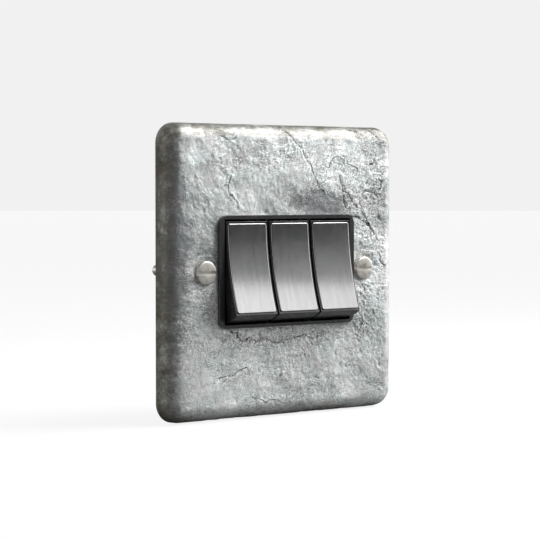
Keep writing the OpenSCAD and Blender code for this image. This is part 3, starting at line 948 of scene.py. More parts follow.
def hand_in(
    obj: Piece,
    name: str,
    body: str,
    slot: str,
    nodes: Sequence[str],
    sharp: float = 38,
) -> Piece:
    """Lays a finished piece into the part, dresses it and ties it to its body.

    Args:
        obj: the piece.
        name: the piece's name.
        body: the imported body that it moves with.
        slot: the record's material slot.
        nodes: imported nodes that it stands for.
        sharp: angle in degrees above which an edge stays crisp.

    Returns:
        The piece.
    """
    obj.name = obj.data.name = name
    obj.data.transform(WALL_TO_ROW)
    obj.data.shade_smooth()
    obj.data.set_sharp_from_angle(angle=math.radians(sharp))
    weigh = obj.modifiers.new("weigh", "WEIGHTED_NORMAL")
    weigh.keep_sharp = True
    obj.data.materials.clear()
    obj.data.materials.append(FinishRack.get(slot))
    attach(obj, body)
    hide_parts(*nodes)
    LOG.info("%s: %d faces on %s", name, len(obj.data.polygons), body)
    return obj


def eased_node(
    node: str,
    radius: float,
    body: str,
    slot: str,
    angle: float = 32,
    steps: int = 3,
    flattened: bool = True,
) -> Piece:
    """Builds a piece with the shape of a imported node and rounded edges.

    Args:
        node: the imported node.
        radius: rounding of its edges in millimetres.
        body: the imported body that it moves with.
        slot: the record's material slot.
        angle: least angle that counts as an edge, in degrees.
        steps: faces across each rounding.
        flattened: whether flat areas first become single faces.

    Returns:
        The piece.
    """
    made = bpy.data.objects.new(node + "_eased", frame["nodes"][node].data.copy())
    bpy.context.scene.collection.objects.link(made)
    made.data.transform(ROW_TO_WALL)
    ease_edges(made, radius, angle, steps, flattened)
    return hand_in(made, node + "_piece", body, slot, [node])


# ---- Outlines ----


def rounded_loop(
    half_w: float, half_h: float, radius: float, side: int, corner: int
) -> tuple[np.ndarray, np.ndarray]:
    """Walks round a rounded rectangle, anticlockwise from its lower right.

    Args:
        half_w: half its width.
        half_h: half its height.
        radius: radius of its corners.
        side: points along each side.
        corner: points round each corner.

    Returns:
        The points and the outward directions at them, one per row.
    """
    radius = max(radius, 1e-4)
    points, outward = [], []
    cores = ((1, -1, -90), (1, 1, 0), (-1, 1, 90), (-1, -1, 180))
    for i, (sx, sy, start) in enumerate(cores):
        centre = np.array([sx * (half_w - radius), sy * (half_h - radius)])
        for step in range(corner):
            angle = math.radians(start + 90 * step / corner)
            out = np.array([math.cos(angle), math.sin(angle)])
            points.append(centre + radius * out)
            outward.append(out)
        nx, ny, _ = cores[(i + 1) % 4]
        following = np.array([nx * (half_w - radius), ny * (half_h - radius)])
        square = math.radians(start + 90)
        out = np.array([math.cos(square), math.sin(square)])
        for step in range(side):
            points.append(centre + (following - centre) * step / side + radius * out)
            outward.append(out)
    return np.array(points), np.array(outward)


def level_ring(loop: np.ndarray, z: float) -> np.ndarray:
    """Returns a flat loop of points raised to a level."""
    return np.column_stack([loop, np.full(len(loop), z)])


# ---- The face plate ----


@dataclass(frozen=True)
class Crease:
    """A wandering split in the plate's skin: its line in millimetres, depth and width."""

    line: tuple[Point2, ...]
    depth: float = 0.2
    width: float = 0.3


@dataclass(frozen=True)
class Patch:
    """A soft lighter or darker area of the plate's skin."""

    x: float
    y: float
    rx: float
    ry: float
    tone: float

    def at(self, places: np.ndarray) -> np.ndarray:
        """Measures how strong the area is.

        Args:
            places: places on the plate, one per row.

        Returns:
            Its tone in its middle, fading outwards.
        """
        u, v = (places[:, 0] - self.x) / self.rx, (places[:, 1] - self.y) / self.ry
        return self.tone * np.exp(-(u * u + v * v))


CREASES = (
    Crease(
        ((-0.3, 41.9), (1.7, 39.9), (3.6, 38.4), (5.8, 36.8), (7.0, 34.9), (7.5, 33.4),
         (8.2, 32.1), (9.2, 31.6), (9.5, 29.9), (10.9, 27.8), (12.1, 25.5), (13.4, 23.7),
         (15.1, 22.9), (17.3, 22.0)),
        0.22, 0.3,
    ),
    Crease(
        ((20.8, 28.2), (21.3, 26.3), (22.0, 24.4), (22.8, 23.5), (24.3, 23.1), (25.1, 21.8),
         (26.3, 19.8), (28.4, 18.5), (29.9, 17.5), (30.9, 16.0), (31.7, 14.4), (32.5, 13.3),
         (33.8, 11.3), (34.8, 10.3), (36.1, 9.0)),
        0.34, 0.36,
    ),
    Crease(((22.3, 22.1), (22.3, 20.6), (23.3, 18.9), (24.6, 17.7)), 0.34, 0.4),
    Crease(((25.8, 16.4), (27.9, 15.8), (29.7, 15.0), (30.9, 14.0), (32.2, 13.3)), 0.34, 0.4),
    Crease(
        ((13.3, 31.6), (15.3, 31.0), (16.5, 31.2), (16.8, 32.4), (18.3, 33.7), (20.0, 34.1),
         (21.8, 33.4), (22.8, 31.5)),
        0.16, 0.26,
    ),
    Crease(((24.3, 32.1), (26.3, 31.2), (28.1, 30.6), (28.6, 28.8)), 0.2, 0.28),
    Crease(((25.8, 42.6), (27.5, 42.2), (28.5, 41.7)), 0.22, 0.3),
    Crease(((33.6, 42.4), (34.9, 41.4), (35.7, 40.7)), 0.22, 0.3),
    Crease(((33.2, 31.6), (34.5, 31.8), (35.1, 32.4), (34.7, 33.1)), 0.34, 0.42),
    Crease(((31.4, 23.9), (33.2, 23.6), (34.2, 23.1), (35.3, 22.5)), 0.36, 0.42),
    Crease(((36.5, 27.0), (37.6, 26.4), (38.3, 26.8)), 0.3, 0.36),
    Crease(((37.6, 25.8), (37.1, 24.8), (36.5, 23.6)), 0.26, 0.3),
    Crease(
        ((-20.8, 27.6), (-21.7, 25.8), (-21.7, 23.6), (-20.6, 21.8), (-18.8, 20.7),
         (-18.2, 18.7)),
        0.18, 0.3,
    ),
    Crease(
        ((-21.3, -17.2), (-19.0, -18.4), (-17.6, -20.0), (-16.2, -20.4), (-13.9, -19.4),
         (-11.5, -21.0), (-7.8, -20.1), (-4.0, -21.7), (-1.1, -21.1), (2.7, -20.2)),
        0.26, 0.3,
    ),
    Crease(((2.7, -20.6), (6.6, -19.6), (10.5, -20.9), (14.4, -20.0)), 0.16, 0.26),
    Crease(
        ((-24.9, -31.0), (-23.1, -30.3), (-21.3, -30.7), (-19.4, -29.8), (-17.6, -29.0),
         (-15.3, -28.4)),
        0.3, 0.34,
    ),
    Crease(
        ((-12.5, -37.4), (-10.1, -38.1), (-7.8, -38.9), (-4.9, -38.6), (-2.5, -39.4)),
        0.22, 0.32,
    ),
    Crease(((-24.5, 39.6), (-21.7, 38.5), (-19.0, 39.2)), 0.22, 0.3),
    Crease(((27.5, -12.8), (29.5, -14.5), (30.5, -16.8), (28.5, -19.1)), 0.22, 0.32),
    Crease(((29.5, -4.6), (30.8, -6.4), (29.3, -8.3)), 0.26, 0.36),
    Crease(((36.6, 3.9), (37.7, 1.6), (39.2, 0.7)), 0.26, 0.32),
)
# Soft lighter and darker areas of the skin's tone, among them dark stain clouds at the upper right;
# the long dark strip down the left turned edge and the dark patches just above each fixing, in its
# dimple, are painted shade.
PATCHES = (
    Patch(10.4, 20.6, 6.0, 4.0, -3.0),
    Patch(17.3, 19.6, 5.5, 2.8, -1.8),
    Patch(3.6, 20.7, 3.0, 2.0, -0.8),
    Patch(-38.5, 21.0, 2.6, 15.0, -0.5),
    Patch(-40.6, 0.0, 3.9, 60.0, -1.7),
    Patch(-30.3, 3.6, 5.0, 2.4, -0.6),
    Patch(31.0, 5.6, 3.4, 2.4, -0.6),
    Patch(-13.4, 23.5, 7.5, 5.5, 0.45),
    Patch(2.6, 36.5, 12.0, 5.0, 0.5),
    Patch(22.3, 35.0, 12.0, 6.0, 0.45),
    Patch(20.0, 27.0, 7.0, 4.0, 0.35),
    Patch(8.6, -25.7, 9.0, 2.4, -0.35),
    Patch(-35.0, 34.0, 1.8, 4.0, 0.7),
    Patch(30.0, -2.0, 8.0, 14.0, 0.2),
    Patch(-28.0, 14.0, 6.0, 8.0, -0.3),
    Patch(4.0, -36.0, 9.0, 4.0, -0.25),
    Patch(-24.0, -26.0, 18.0, 16.0, 0.9),
    Patch(8.0, -30.0, 22.0, 12.0, 0.45),
    Patch(33.0, -12.0, 8.0, 16.0, 0.4),
)

CRUMBLES = (
    Patch(-4.0, -31.0, 2.8, 2.4, 1.3),
    Patch(-0.5, -28.6, 2.8, 2.4, 1.3),
    Patch(3.2, -26.2, 2.8, 2.4, 1.3),
    Patch(6.8, -23.8, 3.0, 2.4, 1.3),
    Patch(10.4, -21.6, 3.2, 2.4, 1.2),
    Patch(-12.0, -20.6, 9.0, 1.8, 1.3),
    Patch(-29.0, -9.0, 3.5, 6.0, 0.9),
    Patch(2.0, 36.0, 9.0, 2.0, 0.8),
    Patch(20.0, 29.0, 4.0, 4.0, 0.7),
    Patch(34.0, 8.0, 5.0, 14.0, 0.9),
    Patch(27.0, 21.0, 5.0, 5.0, 0.8),
    Patch(34.0, 27.0, 5.0, 7.0, 0.6),
    Patch(12.0, 29.0, 8.0, 8.0, 0.35),
    Patch(-4.0, -19.5, 20.0, 2.6, 0.9),
    Patch(32.0, -14.0, 6.0, 8.0, 0.6),
    Patch(-18.0, -29.5, 9.0, 3.0, 0.6),
    Patch(-5.0, -38.0, 12.0, 2.4, 0.5),
    Patch(-30.0, -8.0, 5.0, 14.0, 0.25),
)


def distance_to_line(points: np.ndarray, line: Sequence[Point2]) -> np.ndarray:
    """Measures how far points are from a line of straight stretches, in the plate's plane.

    Args:
        points: the points, one per row.
        line: the line's corners.

    Returns:
        Each point's distance, above 0 on one side of the line and below 0 on the other.
    """
    nearest = np.full(len(points), 1e9)
    for a, b in zip(line[:-1], line[1:], strict=True):
        start, run = np.array(a), np.array(b) - np.array(a)
        offset = points - start
        share = np.clip((offset @ run) / (run @ run), 0, 1)
        away = np.linalg.norm(offset - share[:, None] * run, axis=1)
        side = np.where(run[0] * offset[:, 1] - run[1] * offset[:, 0] < 0, -1, 1)
        nearest = np.where(away < np.abs(nearest), away * side, nearest)
    return nearest


@dataclass
class FacePlate:
    """The rolled-edge plate with its worn skin, window and fixing seats."""

    corner_r: float = 6.0
    roll_r: float = 4.7
    sheet: float = 1.2
    window_clear: float = 0.1
    window_r: float = 2.6
    dimple_r: float = 4.8
    dimple_edge: float = 1.1
    seat_r: float = 3.55
    hole_r: float = 1.95
    collar_r: float = 4.2
    collar_l: float = 1.5
    collar_edge: float = 0.2
    collar_bite: float = 0.3
    fixing_x: float = 30.15
    side_points: int = 200
    corner_points: int = 16
    face_rings: int = 58
    roll_rings: int = 19
    inner_rings: int = 6
    wall_rings: int = 4
    wander: float = 0.42
    swell: float = 0.06
    ripple: float = 0.055
    fine_grit: float = 0.085
    coarse_grit: float = 0.05
    flake_h: float = 0.055
    flake_levels: tuple[float, ...] = (-0.42, -0.12, 0.16, 0.42)
    rim_levels: tuple[float, ...] = (-0.12, 0.42)
    sink: float = 0.16
    deepest: float = -0.42
    highest: float = 0.14
    full_split: float = 0.34
    pits: int = 260
    pit_area: float = 41
    band_share: float = 0.45
    band_x: tuple[float, float] = (33, 4.5)
    band_y: float = 34
    pit_size: tuple[float, float] = (0.24, 0.6)
    pit_depth: tuple[float, float] = (0.05, 0.18)
    # How strongly painted shade darkens the top crest.
    crest_shade_share: float = 0.9
    rim_rings: float = 3.0
    window_rings: float = 2.0
    window_least: float = 0.15
    dimple_margin: float = 0.7
    dimple_calm: float = 0.6

    def relief(self, points: np.ndarray) -> dict[str, np.ndarray]:
        """Works out the skin's height and its marks.

        Args:
            points: places on the smooth plate, in millimetres.

        Returns:
            The height along the surface's own direction; its tone, which also carries painted
            shade; how hollow (where shade is painted), raised (where a highlight is painted),
            crumbly and near to a crease it is, from 0 to 1; and the distance to the nearest crease.
        """
        grain, wander, crust = GrainField(11), GrainField(23), GrainField(37)
        shift = [wander.layered(points + away, 2.6, 3, 0.6) for away in (0, 40)]
        ragged = points[:, :2] + self.wander * np.stack(shift, 1)
        height = self.swell * grain.layered(points, 15, 2)
        height = height + self.ripple * grain.layered(points + 9, 4.2, 3, 0.6)
        crumble = np.clip(0.16 + 0.75 * grain.layered(points + 60, 8, 3), 0.04, 1.0)
        crumble += sum(patch.at(ragged) for patch in CRUMBLES)
        grit = self.fine_grit * grain.smooth(points, 0.95)
        grit = grit + self.coarse_grit * grain.smooth(points + 5, 1.7)
        sheet = crust.layered(points, 8.5, 4, 0.6)
        steps = [eased((sheet - level) / 0.05 + 0.5) for level in self.flake_levels]
        flakes = sum(self.flake_h * step for step in steps)
        rims = sum(np.exp(-(((sheet - level) / 0.045) ** 2)) for level in self.rim_levels)
        hollow, raised, cuts, near = (np.zeros(len(points)) for _ in range(4))
        seam = np.full(len(points), 9.0)
        broken = np.clip(0.8 + 0.8 * grain.layered(points + 120, 2.6, 2), 0.2, 1.2)
        for crease in CREASES:
            signed = distance_to_line(ragged, crease.line)
            away = np.abs(signed)
            split = np.exp(-((away / crease.width) ** 2)) * broken
            lip = np.exp(-(((signed - 2.0 * crease.width) / crease.width) ** 2)) * broken
            cuts += crease.depth * (0.3 * lip - 0.7 * split)
            # Painted shade down in the crease, and a painted highlight on its lip, which runs on
            # one side only.
            hollow = np.maximum(hollow, split * min(1.0, crease.depth / self.full_split) * 0.35)
            crumble += 2.2 * crease.depth * np.exp(-((away / 2.2) ** 2))
            raised = np.maximum(raised, lip * 0.35)
            closer = away < np.abs(seam)
            seam = np.where(closer, signed, seam)
            shown = min(1.0, 0.45 + crease.depth * 1.9)
            near = np.where(closer, np.clip(1.4 - away, 0, 1) * shown, near)
        fine = np.clip(crumble, 0, 1.3) * grit
        rng = np.random.default_rng(5)
        for _ in range(self.pits):
            centre = rng.uniform(-self.pit_area, self.pit_area, 2)
            if rng.random() < self.band_share:
                across = rng.normal(*self.band_x)
                centre = np.array([across, rng.uniform(-self.band_y, self.band_y)])
            size, depth = rng.uniform(*self.pit_size), rng.uniform(*self.pit_depth)
            offset = (ragged - centre) / np.array([size, size * rng.uniform(0.6, 1.5)])
            away = np.linalg.norm(offset, axis=1)
            pit = np.exp(-(away**2))
            # Each pit's lip rises on its upper right side only; painted shade goes in the pit and a
            # painted highlight on that lip.
            lip = np.exp(-(((away - 1.7) / 0.6) ** 2)) * (offset[:, 1] + offset[:, 0] > 0)
            cuts += depth * (0.15 * lip - pit)
            hollow = np.maximum(hollow, pit * depth * 3)
            raised = np.maximum(raised, lip * depth * 1.5)
        tone = grain.layered(points + 90, 20, 2) * 0.5
        tone += sum(patch.at(ragged) for patch in PATCHES)
        # Painted shade along the flake rims where the skin crumbles.
        hollow = np.maximum(hollow, 0.3 * rims * crumble)
        return {
            "height": height + fine + flakes + cuts - self.sink,
            "hollow": np.clip(hollow + np.clip(-fine * 3, 0, 0.3), 0, 1),
            "raised": np.clip(raised, 0, 1),
            "tone": tone,
            "seam": seam,
            "near": near,
            "crumble": np.clip(crumble, 0, 1),
        }

    def loop(self, half_w: float, half_h: float, radius: float) -> tuple[np.ndarray, np.ndarray]:
        """Returns one ring of the plate and the outward directions at it."""
        return rounded_loop(half_w, half_h, radius, self.side_points, self.corner_points)

    def window(self) -> np.ndarray:
        """Returns the window's outline."""
        clear = self.window_clear
        return self.loop(BEZEL_HALF_W + clear, BEZEL_HALF_H + clear, self.window_r)[0]

    def outer_skin(
        self, half_w: float, half_h: float, back: float, front: float
    ) -> tuple[np.ndarray, np.ndarray]:
        """Lays the smooth outer surface in rings, from the rear rim to the window.

        Args:
            half_w: half the plate's width.
            half_h: half the plate's height.
            back: level of its rear rim.
            front: level of its face.

        Returns:
            Points and outward directions, each as rings by points by three.
        """
        places, outs = [], []
        roll_z = front - self.roll_r
        rise = roll_z - back
        steps = [(0.0, back + rise * i / self.wall_rings, 0.0) for i in range(self.wall_rings)]
        for i in range(self.roll_rings + 1):
            turn = math.pi / 2 * i / self.roll_rings
            inset = self.roll_r * (1 - math.cos(turn))
            steps.append((inset, roll_z + self.roll_r * math.sin(turn), turn))
        for inset, z, turn in steps:
            loop, out = self.loop(half_w - inset, half_h - inset, self.corner_r - inset)
            places.append(level_ring(loop, z))
            outs.append(np.column_stack([out * math.cos(turn), np.full(len(out), math.sin(turn))]))
        window, edge = self.window(), places[-1][:, :2]
        for i in range(1, self.face_rings + 1):
            share = i / self.face_rings
            places.append(level_ring(edge * (1 - share) + window * share, front))
            outs.append(np.tile([0.0, 0.0, 1.0], (len(window), 1)))
        return np.array(places), np.array(outs)

    def inner_skin(self, half_w: float, half_h: float, back: float, front: float) -> np.ndarray:
        """Lays the plain inner surface in rings, from the window to the rear rim.

        Args:
            half_w: half the plate's width.
            half_h: half the plate's height.
            back: level of its rear rim.
            front: level of its face.

        Returns:
            Points, as rings by points by three.
        """
        inner, roll = front - self.sheet, self.roll_r - self.sheet
        rings = [level_ring(self.window(), inner)]
        steps = []
        for i in range(self.inner_rings + 1):
            turn = math.pi / 2 * (1 - i / self.inner_rings)
            inset = self.sheet + roll * (1 - math.cos(turn))
            steps.append((inset, inner - roll * (1 - math.sin(turn))))
        for inset, z in (*steps, (self.sheet, back)):
            loop, _ = self.loop(half_w - inset, half_h - inset, self.corner_r - inset)
            rings.append(level_ring(loop, z))
        return np.array(rings)

    def fixing_seats(self, plate: Piece, front: float) -> None:
        """Adds a collar behind each fixing and sinks its countersink.

        Args:
            plate: the plate.
            front: level of its face.
        """
        inner_z, seat_z = front - self.sheet, front - SEAT_SINK
        low = inner_z - self.collar_l
        collar = (
            (0, low),
            (self.collar_r - self.collar_edge, low),
            (self.collar_r, low + self.collar_edge),
            (self.collar_r, inner_z + self.collar_bite),
            (0, inner_z + self.collar_bite),
        )
        seat = (
            (0, low - 1),
            (self.hole_r, low - 1),
            (self.hole_r, seat_z - (self.seat_r - self.hole_r)),
            (self.seat_r, seat_z),
            (self.seat_r + 0.06, seat_z + 2),
            (0, seat_z + 2),
        )
        for side in (-1, 1):
            place = Matrix.Translation((side * self.fixing_x, 0, 0))
            combine(plate, lathed(collar, 72).moved(place).object("collar"), Cut.FUSE)
            combine(plate, lathed(seat, 96).moved(place).object("seat"), Cut.AWAY)

    def stain(self, out: np.ndarray) -> np.ndarray:
        """Works out the painted shade on the turned edges, most on the left side and over the top
        crest.

        Args:
            out: outward directions, one per row.

        Returns:
            The share of painted shade at each, 0 to 1.
        """
        upward = np.clip(out[:, 1], 0, 1)
        # Painted shade over the top crest, which tones down the highlight there.
        crest_shade = np.clip((1 - out[:, 2]) * 45, 0, 1) * np.clip(out[:, 1] * 3, 0, 1)
        # Painted shade on the turned edges, strongest where they face left or up and weakest where
        # they face right.
        skirt = np.clip((0.997 - out[:, 2]) * 3, 0, 1)
        skirt = skirt * np.clip(0.5 - 0.75 * out[:, 0] + 0.5 * upward, 0.15, 1)
        return np.maximum(skirt, crest_shade * self.crest_shade_share)

    def build(self) -> Piece:
        """Builds and dresses the plate.

        Returns:
            The plate.
        """
        low, high = node_box("face_plate")
        half_w, half_h = (high.x - low.x) / 2, (high.y - low.y) / 2
        back, front = max(low.z, WALL_GAP), high.z
        places, outs = self.outer_skin(half_w, half_h, back, front)
        rings, around = places.shape[:2]
        flat, out = places.reshape(-1, 3), outs.reshape(-1, 3)
        marks = self.relief(flat)
        level = np.repeat(np.arange(rings), around)
        rim_fade = np.clip(level / self.rim_rings, 0, 1)
        window_fade = np.clip((rings - 1 - level) / self.window_rings, self.window_least, 1)
        height = np.clip(marks.pop("height"), self.deepest, self.highest) * window_fade
        facing = np.clip((out[:, 2] - 0.9) / 0.1, 0, 1)
        height = np.where(facing > 0.5, height, np.minimum(height, 0)) * rim_fade
        for side in (-1, 1):
            away = np.hypot(flat[:, 0] - side * self.fixing_x, flat[:, 1])
            near = eased((self.dimple_r + self.dimple_margin - away) / (2 * self.dimple_margin))
            dimple = eased((self.dimple_r - away) / self.dimple_edge)
            height = height * (1 - self.dimple_calm * near) - SEAT_SINK * dimple
        inner = self.inner_skin(half_w, half_h, back, front)
        points = np.vstack([flat + out * height[:, None], inner.reshape(-1, 3)])
        shape = Shape().add(points, grid_faces(rings + len(inner), around, join_ends=True))
        plate = shape.object("face_plate_skin")
        # The skin's marks go in as mesh attributes with the painted edge shade; hollow and raised
        # hold painted shade and highlights.
        for name, value in (marks | {"skirt": self.stain(out)}).items():
            layer = plate.data.attributes.new(name, "FLOAT", "POINT")
            filled = np.concatenate([value, np.zeros(len(points) - len(value))])
            layer.data.foreach_set("value", filled.astype(np.float32))
        self.fixing_seats(plate, front)
        return hand_in(plate, "face_plate_shell", "switch", "plate", ["face_plate"], sharp=50)


# ---- Rocker caps ----


@dataclass
class RockerCap:
    """One hollow-faced metal cap with rolled edges and softened corners."""

    gang: int
    edge_r: float = 0.2
    corner_r: float = 0.75
    face_r: float = 83.6
    face_rise: float = 5.55
    tilt: float = 10.6
    width: float = 14.15
    length: float = 26.45
    thick: float = 0.6
    fine: tuple[float, ...] = (0.0, 0.02, 0.05, 0.1, 0.17, 0.26, 0.4, 0.75)
    across_lines: int = 15
    along_lines: int = 54

    def spaced(self, half: float, inner: int) -> np.ndarray:
        """Spaces lines from edge to edge, closer together near both edges.

        Args:
            half: half the distance between the edges.
            inner: how many lines share the even part, with its two ends.

        Returns:
            The lines' places.
        """
        edge = np.array(self.fine)
        middle = np.linspace(-half + self.fine[-1], half - self.fine[-1], inner)[1:-1]
        return np.concatenate([-half + edge, middle, half - edge[::-1]])

    def corner_round(
        self, x: np.ndarray, y: np.ndarray
    ) -> tuple[np.ndarray, np.ndarray, np.ndarray]:
        """Rounds the outline's corners.

        Args:
            x: places across the cap.
            y: places along it.

        Returns:
            The new places across and along, and the distance in from the edge.
        """
        r = self.corner_r
        cx, cy = self.width / 2 - r, self.length / 2 - r
        u, v = (np.abs(x) - cx) / r, (np.abs(y) - cy) / r
        inside = np.minimum(self.width / 2 - np.abs(x), self.length / 2 - np.abs(y))
        at_corner = (u > 0) & (v > 0)
        u2 = np.where(at_corner, u * np.sqrt(np.clip(1 - v * v / 2, 0, 1)), u)
        v2 = np.where(at_corner, v * np.sqrt(np.clip(1 - u * u / 2, 0, 1)), v)
        return np.sign(x) * (cx + r * u2), np.sign(y) * (cy + r * v2), inside

    def build(self) -> Piece:
        """Builds and dresses the cap.

        Returns:
            The cap.
        """
        xs = self.spaced(self.width / 2, self.across_lines)
        ys = self.spaced(self.length / 2, self.along_lines)
        gx, gy = (a.ravel() for a in np.meshgrid(xs, ys))
        x, y, inside = self.corner_round(gx, gy)
        short = np.clip(self.edge_r - inside, 0, self.edge_r)
        drop = self.edge_r - np.sqrt(np.clip(self.edge_r**2 - short**2, 0, None))
        hollow = self.face_rise + self.face_r - np.sqrt(self.face_r**2 - y * y)
        top = np.stack([x, y, hollow - drop], 1)
        under = np.stack([x, y, hollow - self.thick], 1)
        nx, ny = len(xs), len(ys)
        faces = [
            (j * nx + i, j * nx + i + 1, (j + 1) * nx + i + 1, (j + 1) * nx + i)
            for j in range(ny - 1)
            for i in range(nx - 1)
        ]
        size = nx * ny
        faces += [tuple(size + k for k in reversed(face)) for face in faces]
        edge = (
            list(range(nx))
            + [j * nx + nx - 1 for j in range(1, ny)]
            + [(ny - 1) * nx + i for i in range(nx - 2, -1, -1)]
            + [j * nx for j in range(ny - 2, 0, -1)]
        )
        following = edge[1:] + edge[:1]
        faces += [(a, size + a, size + b, b) for a, b in zip(edge, following, strict=True)]
        shape = Shape().add(np.vstack([top, under]), faces)
        pivot = joint_place(f"rocker_{self.gang}_tilt")
        place = Matrix.Translation(pivot) @ Matrix.Rotation(math.radians(-self.tilt), 4, "X")
        cap = shape.moved(place).object("cap")
        layer = cap.data.uv_layers.new(name="length")
        for loop in cap.data.loops:
            k = loop.vertex_index % size
            layer.data[loop.index].uv = (gx[k] / self.length + 0.5, gy[k] / self.length + 0.5)
        node = f"rocker_cap_{self.gang}"
        return hand_in(cap, f"{node}_sheet", f"rocker_{self.gang}", "cap", [node], sharp=70)


# ---- Screws and springs ----


@dataclass(frozen=True)
class ScrewShape:
    """A slotted machine screw: tip at z = 0, threaded up to its head."""

    shank_r: float
    length: float
    head: tuple[Point2, ...]
    slot_w: float
    slot_d: float
    pitch: float = 0.6
    thread_d: float = 0.22
    neck: float = 0.0
    neck_r: float = 0.0
    steps_per_turn: int = 8
    taper: float = 0.5

    def circle(self, radius: float | np.ndarray, z: float, around: int) -> np.ndarray:
        """Lays one ring of points.

        Args:
            radius: the radius, the same all round or one for each point.
            z: level of the ring.
            around: points in the ring.

        Returns:
            The points, one per row.
        """
        angle = np.linspace(0, 2 * math.pi, around, endpoint=False)
        return np.stack([radius * np.cos(angle), radius * np.sin(angle), np.full(around, z)], 1)

    def profile_rings(self, around: int) -> list[np.ndarray]:
        """Lays the threaded shank in rings, with its helix running round it.

        Args:
            around: points in each ring.

        Returns:
            The rings, from the tip up.
        """
        threaded = self.length - self.neck
        count = max(6, int(threaded / self.pitch * self.steps_per_turn))
        angle = np.linspace(0, 2 * math.pi, around, endpoint=False)
        rings = []
        for i in range(count + 1):
            z = threaded * i / count
            phase = (z / self.pitch - angle / (2 * math.pi)) % 1.0
            wave = np.abs(phase * 2 - 1)
            taper = min(1.0, z / self.taper) if threaded > 1 else 1.0
            radius = (self.shank_r - self.thread_d * wave) * (0.8 + 0.2 * taper)
            rings.append(self.circle(radius, z, around))
        return rings

    def shape(self, around: int = 40) -> Piece:
        """Builds the screw as one closed object, still standing on its tip.

        Args:
            around: points in each ring.

        Returns:
            The screw.
        """
        rings = self.profile_rings(around)
        extra = []
        if self.neck > 0:
            extra += [(self.neck_r, self.length - self.neck + 0.1), (self.neck_r, self.length)]
        extra += [(r, self.length + z) for r, z in self.head if r > 0]
        rings += [self.circle(r, z, around) for r, z in extra]
        count = len(rings)
        top = self.length + self.head[-1][1]
        points = np.vstack([*rings, [[0, 0, 0]], [[0, 0, top]]])
        faces = grid_faces(count, around)
        bottom, crown = count * around, count * around + 1
        faces += [(j, (j + 1) % around, bottom) for j in range(around)]
        last = (count - 1) * around
        faces += [(last + j, last + (j + 1) % around, crown) for j in range(around)]
        screw = Shape().add(points, faces).object("screw")
        wide, half = max(r for r, _ in self.head) + 1, self.slot_w / 2
        slot = block((-wide, -half, top - self.slot_d), (wide, half, top + 1))
        combine(screw, slot.object("slot"), Cut.AWAY)
        return screw


def rounded_rim(radius: float, top: float, edge: float, steps: int) -> list[Point2]:
    """Rounds a head's rim.

    Args:
        radius: the head's radius.
        top: level where the rounding ends.
        edge: radius of the rounding.
        steps: stretches across it.

    Returns:
        Its profile, upwards.
    """
    turns = [math.pi / 2 * i / steps for i in range(steps + 1)]
    return [(radius - edge * (1 - math.cos(t)), top - edge * (1 - math.sin(t))) for t in turns]


def pan_head(
    radius: float, height: float, edge: float = 0.25, crown: float = 0.1
) -> tuple[Point2, ...]:
    """Draws a low cylindrical head.

    Args:
        radius: its radius.
        height: its height.
        edge: rounding of its rim.
        crown: how far its middle stands above the rim.

    Returns:
        Its profile, from its underside's edge to its crown.
    """
    points = [(radius, 0.0), *rounded_rim(radius, height - crown, edge, 4)]
    points += [(radius * 0.6, height - crown * 0.4), (radius * 0.25, height - 0.01), (0.0, height)]
    return tuple(points)


RISE_SHARE = 0.37


def ring_uv(obj: Piece, centres: Sequence[Point2]) -> None:
    """Writes each corner's distance from the nearest axis, for turning marks.

    Args:
        obj: the piece, in millimetres.
        centres: where each axis crosses the wall's plane.
    """
    layer = obj.data.uv_layers.get("rings") or obj.data.uv_layers.new(name="rings")
    places = np.array(centres)
    for loop in obj.data.loops:
        p = obj.data.vertices[loop.vertex_index].co
        away = np.hypot(places[:, 0] - p.x, places[:, 1] - p.y)
        k = int(np.argmin(away))
        layer.data[loop.index].uv = (float(away[k]) + p.z * RISE_SHARE, k)


def merged(objects: Sequence[Piece]) -> Piece:
    """Joins objects.

    Args:
        objects: the objects; all but the first are used up.

    Returns:
        The first one, which now holds them all.
    """
    first = objects[0]
    bm = bmesh.new()
    for obj in objects:
        obj.data.transform(obj.matrix_world)
        bm.from_mesh(obj.data)
    bm.to_mesh(first.data)
    bm.free()
    first.matrix_world = Matrix.Identity(4)
    for obj in objects[1:]:
        bpy.data.objects.remove(obj)
    return first


def placed_copies(screw: Piece, places: Sequence[Matrix]) -> Piece:
    """Copies a screw to several places, turned a little differently at each.

    Args:
        screw: the screw standing on its tip at the origin; it is used up.
        places: where each copy goes.

    Returns:
        One object of all the copies.
    """
    copies = []
    for place in places:
        copy = bpy.data.objects.new("copy", screw.data.copy())
        bpy.context.scene.collection.objects.link(copy)
        copy.data.transform(place)
        copies.append(copy)
    bpy.data.objects.remove(screw)
    return merged(copies)


FLIP = Matrix.Rotation(math.pi, 4, "X")


